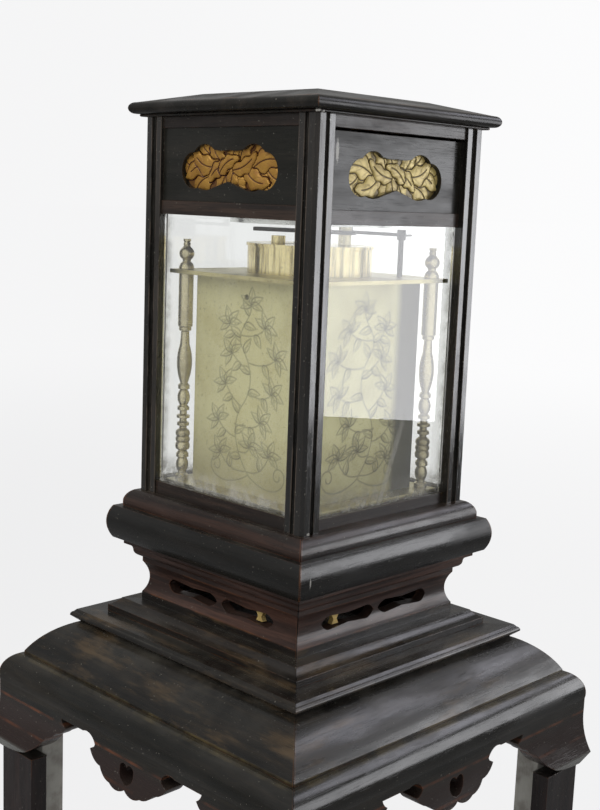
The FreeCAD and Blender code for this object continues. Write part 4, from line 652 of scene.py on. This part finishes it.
ink = reckon(tree, "MAXIMUM", strokes(12, 0.0009, 0.0335, 0.0405), strokes(60, 0.0003, 0.0405, 0.0428))
for circle in (0.0328, 0.0412, 0.0430):
    off = absolute(tree, reckon(tree, "SUBTRACT", radius, circle))
    ink = reckon(tree, "MAXIMUM", ink, reckon(tree, "LESS_THAN", off, 0.00016))
skin = use(tree, aged_brass, Bright=srgb(206, 204, 192), Dull=srgb(168, 160, 136), Polish=0.34, Grime=0.5)
tree.links.new(tint(tree, ink, skin["Color"], srgb(28, 26, 24)), surface["Base Color"])
tree.links.new(times_add(tree, ink, 0.3, skin["Roughness"]), surface["Roughness"])
dress(ring_silver, "chapter_ring")


def iron(name, ground, bloom, polish):
    """Forged and filed iron: a dark skin with brown bloom and file marks."""
    material, tree, surface = finish_of(name, Metallic=0.85)
    rust = ramp(tree, cloud(tree, here(tree), 120.0, 5.0, 0.65), 0.45, 0.75)
    filed = cloud(tree, stretch(tree, here(tree), (2400, 700, 700)), 1.0, 2.0)
    arris = use(tree, rubbed_arris, Reach=0.0006, Lengths=80.0, Amount=0.6)["Mask"]
    colour = tint(tree, arris, tint(tree, rust, srgb(*ground), srgb(*bloom)), srgb(150, 148, 144))
    tree.links.new(colour, surface["Base Color"])
    tree.links.new(times_add(tree, rust, 0.3, polish), surface["Roughness"])
    emboss(tree, surface, filed, 0.15, 0.0001)
    return material


dress(iron("blued_iron", (34, 40, 58), (52, 48, 50), 0.28), "hand")


# Trains and balance. Brass wheels with cut teeth run on arbors between two upright brass
# plates; the spring barrels, crown wheel, potence and balance finish the going side.
wheel_brass = brass("wheel_brass", (206, 172, 96), (160, 126, 66), 0.24)
dress(wheel_brass, "going_great_wheel", "second_wheel", "crown_wheel")
dress(wheel_brass, "strike_great_wheel", "pin_wheel", "fly")
dress(wheel_brass, "train_plates", "mainspring_barrels", "potence", "balance")


# Drum and its lid. A drawn brass drum, polished and lacquered, stands on the top plate under
# the bell; a lid with a small knob closes it.
drum_brass, tree, surface = finish_of("drum_brass", Metallic=0.95)
skin = use(tree, aged_brass, Bright=srgb(236, 222, 170), Dull=srgb(204, 184, 124), Polish=0.1, Grime=0.7)
spot = axes(tree)
turn = reckon(tree, "ARCTAN2", spot["Y"], spot["X"])
# Painted reflection: dark upright streaks round the drum stand in for things mirrored in the polished
# brass.
painted_reflection_place = wire(tree, "CombineXYZ", {"X": times(tree, turn, 5.0), "Z": times(tree, spot["Z"], 6.0)})
bright = ramp(tree, cloud(tree, painted_reflection_place, 2.6, 3.0, 0.5), 0.46, 0.66)
colour = tint(tree, times(tree, bright, 0.7), skin["Color"], srgb(104, 90, 54))
tree.links.new(colour, surface["Base Color"])
tree.links.new(skin["Roughness"], surface["Roughness"])
emboss(tree, surface, skin["Height"], 0.06, 0.0001)
dress(drum_brass, "drum", "drum_lid")


# Bell, its standard and hammer. The bell is cast in pale bronze and turned bright at the rim.
# It hangs on an iron bridge from a brass post, and the iron hammer strikes it from inside.
bell_bronze, tree, surface = finish_of("bell_bronze", Metallic=0.95)
skin = use(tree, aged_brass, Bright=srgb(168, 160, 140), Dull=srgb(118, 106, 84), Polish=0.24, Grime=0.6)
rise = axes(tree)["Z"]
rim = flip(tree, ramp(tree, rise, 0.7185, 0.7215))
tree.links.new(tint(tree, rim, skin["Color"], srgb(214, 214, 210)), surface["Base Color"])
tree.links.new(times_add(tree, rim, -0.08, skin["Roughness"]), surface["Roughness"])
turned = cloud(tree, stretch(tree, here(tree), (40, 40, 2600)), 1.0, 2.0)
emboss(tree, surface, turned, 0.1, 0.0001)
dress(bell_bronze, "bell")
dress(turned_brass, "bell_post", "bell_nut")
dress(iron("dark_iron", (46, 44, 42), (72, 54, 42), 0.36), "bell_bridge", "bell_stud", "hammer")


# Hood. Four grooved corner posts are joined by rails, with a frieze board in the head of each
# side. Three sides are fixed; the fourth slips out with its frieze, glass and rails together.
def chipped(tree, colour, *chips):
    """Pale ragged chips on a piece, each at a place and with its reach along the three axes, in metres."""
    spot = here(tree)
    for place, reach in chips:
        off = wire(tree, "VectorMath", {0: spot, 1: place}, operation="SUBTRACT")
        away = length_of(tree, stretch(tree, off, tuple(1 / span for span in reach)))
        ragged = times_add(tree, cloud(tree, spot, 1100.0, 3.0), 1.6, away)
        colour = tint(tree, flip(tree, ramp(tree, ragged, 1.45, 1.95)), colour, srgb(184, 182, 174))
    return colour


def worn_post(tree, colour):
    """Small pale chips at the foot and the head of one post."""
    return chipped(tree, colour, ((0.0835, 0.0905, 0.505), (0.0022, 0.001, 0.001)),
                   ((0.079, 0.0905, 0.7875), (0.0022, 0.002, 0.0014)))


post_timber = timber("post_timber", upright_grain, (24, 23, 21), (50, 43, 36), 0.18, worn=(124, 108, 94),
                     rubbed=0.7, shine=0.75, marks=worn_post)
rail_timber = timber("rail_timber", mitred_grain, (34, 28, 25), (70, 54, 44), 0.32, rubbed=0.12, level=0.4)
dress(post_timber, "corner_posts")
dress(rail_timber, "top_rails", "fixed_mid_rails", "fixed_bottom_rails", "loose_rails")


def split_board(tree, colour):
    """Two short cracks that run in from the ends of the loose frieze board, and a pale scrape."""
    spot = axes(tree)
    waver = times_add(tree, cloud(tree, here(tree), 90.0, 2.0), 0.003, spot["Z"])
    back_side = ramp(tree, spot["Y"], 0.07, 0.075)
    for level, slope, first, last in ((0.7535, 0.02, 0.0515, 0.07), (0.7475, 0.10, -0.07, -0.0505)):
        line = times_add(tree, spot["X"], slope, level)
        off = absolute(tree, reckon(tree, "SUBTRACT", waver, line))
        near = flip(tree, ramp(tree, off, 0.0002, 0.0006))
        past = reckon(tree, "GREATER_THAN", spot["X"], first)
        span = times(tree, past, reckon(tree, "LESS_THAN", spot["X"], last))
        mark = times(tree, times(tree, near, span), back_side)
        colour = tint(tree, mark, colour, srgb(8, 7, 7))
    return chipped(tree, colour, ((0.0632, 0.0838, 0.768), (0.0016, 0.002, 0.008)))


frieze_timber = timber("frieze_timber", mitred_grain, (27, 27, 23), (42, 39, 33), 0.3, rubbed=0.1,
                       shine=0.25, marks=split_board)
dress(frieze_timber, "fixed_friezes", "loose_frieze")


# Frieze carvings. Behind each cloud-shaped opening lies a carved board of broad curling leaves
# round small blossoms, gilt over red clay.
def lay_leaf(relief, cuts, across, height, leaf):
    """Lays one carved leaf over the grid. Along a bent axis from root to tip its half width follows a sine
    with waved edges; the section is a dome with a cut midrib and slanting veins, and a groove is cut
    round the leaf into whatever lies under it."""
    root_x, root_y, tip_x, tip_y, half, bend, base = leaf
    run = np.hypot(tip_x - root_x, tip_y - root_y)
    c, d = (tip_x - root_x) / run, (tip_y - root_y) / run
    s = ((across - root_x) * c + (height - root_y) * d) / run
    inside = np.clip(s, 0.02, 0.98)
    side = -(across - root_x) * d + (height - root_y) * c - bend * np.sin(np.pi * inside)
    width = half * np.sin(np.pi * inside ** 0.7) ** 0.55 * (1 + 0.16 * np.sin(5 * np.pi * inside + half))
    t = side / width
    over = np.clip(np.maximum(np.abs(side) - width, np.maximum(-s, s - 1) * run), 0, None)
    leafy = over == 0
    dome = 1.7 * np.sqrt(np.clip(1 - t ** 2, 0, 1)) * (0.5 + 0.5 * np.sin(np.pi * inside))
    rib = np.exp(-(side / 0.55) ** 2) * (inside < 0.8)
    veins = np.clip(np.cos(2 * np.pi * (inside * 4.5 - 1.1 * np.abs(t))) - 0.72, 0, 1)
    veins = veins * (np.abs(t) < 0.75) * 2
    groove = np.clip(1.4 - over / 0.8, 0, 1) * ~leafy
    relief = np.where(leafy, base + dome - 0.7 * rib - 0.25 * veins, relief - 0.8 * groove)
    return relief, np.where(leafy, np.maximum(0.75 * rib, 0.6 * veins), np.maximum(cuts, groove))


# Leaves by root, tip, half width, bend and base height, from the lowest to the topmost.
CARVED_LEAVES = [
    (-34, -2, -56, 10, 9, 3, 0.2), (34, 2, 56, -10, 9, -3, 0.2), (-20, 8, -34, 22, 8, 3, 0.3),
    (22, 6, 40, 20, 8, -3, 0.3), (-22, -6, -40, -20, 8, -3, 0.3), (20, -6, 42, -19, 8, 3, 0.3),
    (-12, 4, -20, 20, 7.5, 2, 0.5), (8, 4, 20, 21, 7.5, 2, 0.5), (-6, -4, -18, -20, 7, 2, 0.5),
    (6, -4, 14, -20, 7, -2, 0.5), (-18, 2, -50, -8, 7.5, -4, 0.9), (20, -2, 52, 5, 7.5, 4, 0.9),
    (-4, 0, 4, 18, 6.5, -2, 0.9), (2, 2, -4, -18, 6, 2, 0.9), (-14, 0, -42, 11, 7, 4, 1.3),
    (14, 0, 40, -11, 7, -4, 1.3), (-2, 2, -24, -10, 5.5, -3, 1.5), (2, -2, 26, 10, 5.5, -3, 1.5),
    (-12, -4, 8, 7, 5, 2.5, 1.7),
]
# The carving's grid step, half its width and the thickness of its board, in millimetres.
CARVING_STEP = 0.42
CARVING_HALF = 53.5
CARVING_THICK = 3.0


def carved_board(node_low, node_high, side, mirror, boldness=1.0):
    """Points, faces and cut depth of one carved board, with the leaves laid on its face one by one."""
    low, high = 1000 * np.array(node_low), 1000 * np.array(node_high)
    out = max(abs(np.dot(low[:2], side)), abs(np.dot(high[:2], side)))
    across = np.linspace(-CARVING_HALF, CARVING_HALF, int(2 * CARVING_HALF / CARVING_STEP) + 1)
    height = np.linspace(low[2], high[2], int((high[2] - low[2]) / CARVING_STEP) + 1)
    a, h = np.meshgrid(mirror * across, height - (low[2] + high[2]) / 2)
    # The cut values mark painted shade for the gilding: the groove round each leaf, its midrib and veins,
    # and the sunk ground between the leaves at half strength.
    relief, cuts = 0 * a, 0.5 + 0 * a
    for leaf in CARVED_LEAVES:
        relief, cuts = lay_leaf(relief, cuts, a, h, leaf)
    relief = boldness * np.clip(relief, 0, 4.2)
    relief[[0, -1], :], relief[:, [0, -1]] = 0, 0
    face = on_side(across[None, :], height[:, None], out + relief, side)
    points, faces = closed_plate(face / 1000, np.array([-side[0], -side[1], 0]) * CARVING_THICK / 1000)
    shade = np.zeros(len(points))
    shade[:cuts.size] = cuts.ravel()
    return points, faces, shade


carving_gilding = gilding("carving_gilding", (124, 66, 38), (166, 122, 52), cavity="cut",
                          shadow=(66, 28, 18))
low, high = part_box("fixed_carvings")
boards = [carved_board(low, high, side, turn) for side, turn in (((1, 0), 1), ((-1, 0), -1), ((0, -1), 1))]
starts = np.cumsum([0] + [len(points) for points, faces, shade in boards])
faces = [[int(start) + corner for corner in face]
         for start, board in zip(starts, boards) for face in board[1]]
piece = new_piece("carved_foliage_fixed", np.concatenate([b[0] for b in boards]), faces, carving_gilding,
                  "hood", {"cut": np.concatenate([b[2] for b in boards])})
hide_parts("fixed_carvings")
# Painted light: the loose carving, on the lit side, gets a paler, less metallic copy of the gilding with
# lighter shade in its cuts. The fixed carvings keep the warmer, darker copy.
gilding_lit_copy = gilding("gilding_lit_copy", (156, 130, 80), (196, 174, 108), metal=0.12, cavity="cut",
                       shadow=(98, 82, 48))
points, faces, shade = carved_board(*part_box("loose_carving"), (0, 1), -1, boldness=0.65)
piece = new_piece("carved_foliage_loose", points, faces, gilding_lit_copy, "loose_panel",
                  {"cut": shade})
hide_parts("loose_carving")


# Panes. Thin hand-drawn window glass, held in the grooves of posts and rails. Dust and putty
# have gathered along its edges, and a little of both is smeared across it.
pane_glass, tree, surface = finish_of("pane_glass", Transmission_Weight=1.0, IOR=1.62, Roughness=0.0)
spot = axes(tree)
patchy = ramp(tree, cloud(tree, here(tree), 90.0, 5.0, 0.65), 0.36, 0.7)
smear = ramp(tree, cloud(tree, stretch(tree, here(tree), (26, 26, 10)), 1.0, 5.0, 0.65), 0.46, 0.78)
foot = flip(tree, ramp(tree, spot["Z"], 0.511, 0.534))
along = reckon(tree, "MINIMUM", absolute(tree, spot["X"]), absolute(tree, spot["Y"]))
ends = ramp(tree, along, 0.064, 0.0725)
film = times(tree, times_add(tree, foot, 0.5, times(tree, ends, 0.3)), patchy)
film = times_add(tree, smear, 0.05, film)
wiped = times_add(tree, reckon(tree, "SUBTRACT", spot["Z"], 0.55), 0.375, spot["X"])
wiped = absolute(tree, reckon(tree, "ADD", wiped, times_add(tree, smear, 0.004, 0.015)))
wiped = flip(tree, ramp(tree, wiped, 0.0008, 0.0045))
wiped = times(tree, wiped, times(tree, ramp(tree, spot["Y"], 0.07, 0.075), 0.22))
low_part = flip(tree, ramp(tree, spot["Z"], 0.56, 0.585))
film = times_add(tree, wiped, low_part, film, clamp=True)
tree.links.new(tint(tree, film, srgb(252, 253, 252), srgb(232, 232, 226)), surface["Base Color"])
clear = wire(tree, "BsdfTransparent", {"Color": (0.94, 0.95, 0.94, 1)})
path = wire(tree, "LightPath", take=None)
passing = reckon(tree, "MAXIMUM", path["Is Shadow Ray"], path["Is Diffuse Ray"])
glass = tree.nodes["Principled BSDF"].outputs[0]
sheet = wire(tree, "MixShader", {0: passing, 1: glass, 2: clear})
dust = wire(tree, "BsdfDiffuse", {"Color": srgb(206, 204, 196)})
dusty = wire(tree, "MixShader", {0: film, 1: sheet, 2: dust})
tree.links.new(dusty, tree.nodes["Material Output"].inputs["Surface"])
dress(pane_glass, "fixed_panes", "loose_pane")


# Lid. A bead, a moulded board and a raised middle tier close the hood; the board stands out
# past the posts and its rounded edge is rubbed by hands.
flat_grain, given, result = effect("flat grain", [], [("Grain", "Vector")])
flat_grain.links.new(here(flat_grain), result["Grain"])


def lid_chips_and_sheen(tree, colour):
    """Pale chips under one corner of the lid, and a painted reflection: the bevels on the side that faces
    the window are lightened in patches.
    """
    facing = axes(tree, wire(tree, "NewGeometry", take="Normal"))
    bevel = times(tree, ramp(tree, facing["Z"], 0.9, 0.96), ramp(tree, facing["Y"], 0.08, 0.18))
    # Painted reflection: pale patches on the window-side bevels stand in for the backdrop mirrored there.
    painted_sheen = ramp(tree, cloud(tree, stretch(tree, here(tree), (8, 40, 8)), 1.0, 4.0, 0.6), 0.36, 0.72)
    colour = tint(tree, times(tree, times(tree, bevel, painted_sheen), 0.4), colour, srgb(132, 130, 124))
    return chipped(tree, colour, ((0.0925, 0.0925, 0.7925), (0.002, 0.002, 0.0012)),
                   ((0.088, 0.0935, 0.7915), (0.0014, 0.002, 0.001)))


lid_timber = timber("lid_timber", flat_grain, (26, 25, 22), (50, 43, 36), 0.3, rubbed=0.6, level=0.3,
                    shine=0.24, marks=lid_chips_and_sheen)
dress(lid_timber, "lid_board", "lid_tier", "lid_bead")


# Floor, light and camera. A pale floor runs out to a white ground. One soft window of light stands
# to the right and is seen in the panes, another is higher up, and a lamp and the room fill the rest.
def ray_kinds(tree):
    """Two shares by the kind of ray: one for rays that see the ground straight, in a mirror or through
    glass, and one for mirrored rays alone."""
    path = wire(tree, "LightPath", take=None)
    turned = reckon(tree, "MAXIMUM", path["Is Glossy Ray"], path["Is Transmission Ray"])
    seen = reckon(tree, "MAXIMUM", path["Is Camera Ray"], turned)
    return seen, reckon(tree, "SUBTRACT", path["Is Glossy Ray"], path["Is Transmission Ray"], clamp=True)


def near_white(tree, place, reach):
    """The pale ground, a little dimmer on the left of the picture than on the right. It changes with how
    far the place lies to the right, from minus the reach to the reach."""
    terms = {0: place, 1: PICTURE_RIGHT}
    right_hand = wire(tree, "VectorMath", terms, take="Value", operation="DOT_PRODUCT")
    side = ramp(tree, right_hand, -reach, reach)
    return tint(tree, side, (0.915, 0.915, 0.92, 1), (0.97, 0.97, 0.975, 1))


PICTURE_RIGHT = (-0.7, 0.714, 0.0)
FLOOR_REACH = 60.0
corners = FLOOR_REACH * np.array([(-1, -1, 0), (1, -1, 0), (1, 1, 0), (-1, 1, 0)])
mesh = bpy.data.meshes.new("pale_floor")
mesh.from_pydata(corners.tolist(), [], [(0, 1, 2, 3)])
floor = bpy.data.objects.new("pale_floor", mesh)
bpy.context.scene.collection.objects.link(floor)
floor_paint, tree, surface = finish_of("floor_paint", Roughness=0.9, Specular_IOR_Level=0.1)
mottle = cloud(tree, here(tree), 3.0, 3.0)
tree.links.new(tint(tree, mottle, srgb(236, 236, 236), srgb(240, 240, 240)), surface["Base Color"])
seen, mirrored = ray_kinds(tree)
shine = tint(tree, mirrored, near_white(tree, here(tree), 0.8), (0.2, 0.2, 0.2, 1))
white = wire(tree, "Emission", {"Color": shine, "Strength": 1.0})
away = ramp(tree, length_of(tree, here(tree)), 1.2, 5.0)
shown = times(tree, seen, times_add(tree, away, 0.15, 0.85))
mixed = wire(tree, "MixShader", {0: shown, 1: tree.nodes["Principled BSDF"].outputs[0], 2: white})
tree.links.new(mixed, tree.nodes["Material Output"].inputs["Surface"])
mesh.materials.append(floor_paint)

world = bpy.data.worlds.new("studio")
bpy.context.scene.world = world
world.use_nodes = True
tree = world.node_tree
seen, mirrored = ray_kinds(tree)
backdrop = near_white(tree, wire(tree, "TexCoord", take="Generated"), 0.25)
ground = tint(tree, seen, (0.5, 0.5, 0.51, 1), backdrop)
shine = tint(tree, mirrored, ground, (0.36, 0.36, 0.36, 1))
tree.links.new(shine, tree.nodes["Background"].inputs["Color"])


def softbox(name, place, aim, width, height, radiance, colour=(1.0, 1.0, 1.0)):
    """A flat lamp with its face turned to a point. Its power is the radiance times pi times its area."""
    lamp = bpy.data.lights.new(name, "AREA")
    lamp.shape, lamp.size, lamp.size_y = "RECTANGLE", width, height
    lamp.energy = radiance * math.pi * width * height
    lamp.color = colour
    obj = bpy.data.objects.new(name, lamp)
    obj.location = place
    back = (obj.location - type(obj.location)(aim)).normalized()
    obj.rotation_euler = back.to_track_quat("Z", "Y").to_euler()
    obj.visible_transmission = False
    bpy.context.scene.collection.objects.link(obj)
    return obj


window = softbox("window_light", (-1.03, 0.965, 0.655), (0, 0.08, 0.6), 0.9, 0.63, 5.0, (0.96, 0.965, 1.0))
window.visible_diffuse = False
softbox("room_light", (1.5, 0.0, 1.8), (0, 0, 0.5), 1.4, 1.4, 2.6)
high = softbox("high_light", (-1.4, 0.75, 1.65), (0, 0, 0.4), 0.9, 0.6, 4.2, (0.9, 0.9, 1.0))
high.visible_diffuse = False

# The camera as it was solved from the straight edges: its turn, rise and roll in degrees, and its place.
CAMERA_ANGLES = (134.42, 9.32, 2.21)
CAMERA_PLACE = (0.6881, 0.6699, 0.7333)
azimuth, elevation, roll = (math.radians(angle) for angle in CAMERA_ANGLES)
level = math.cos(elevation)
back = np.array([math.sin(azimuth) * level, -math.cos(azimuth) * level, math.sin(elevation)])
across = np.array([math.cos(azimuth), math.sin(azimuth), 0.0])
upward = np.cross(back, across)
right = across * math.cos(roll) + upward * math.sin(roll)
over = upward * math.cos(roll) - across * math.sin(roll)
camera = bpy.data.objects.new("camera", bpy.data.cameras.new("camera"))
camera.data.lens = 55.18
camera.data.sensor_width = 36.0
matrix = np.eye(4)
matrix[:3, :3] = np.stack([right, over, back], 1)
matrix[:3, 3] = CAMERA_PLACE
camera.matrix_world = [list(map(float, row)) for row in matrix.T]
bpy.context.scene.collection.objects.link(camera)
bpy.context.scene.camera = camera

bpy.context.scene.view_settings.view_transform = "Standard"
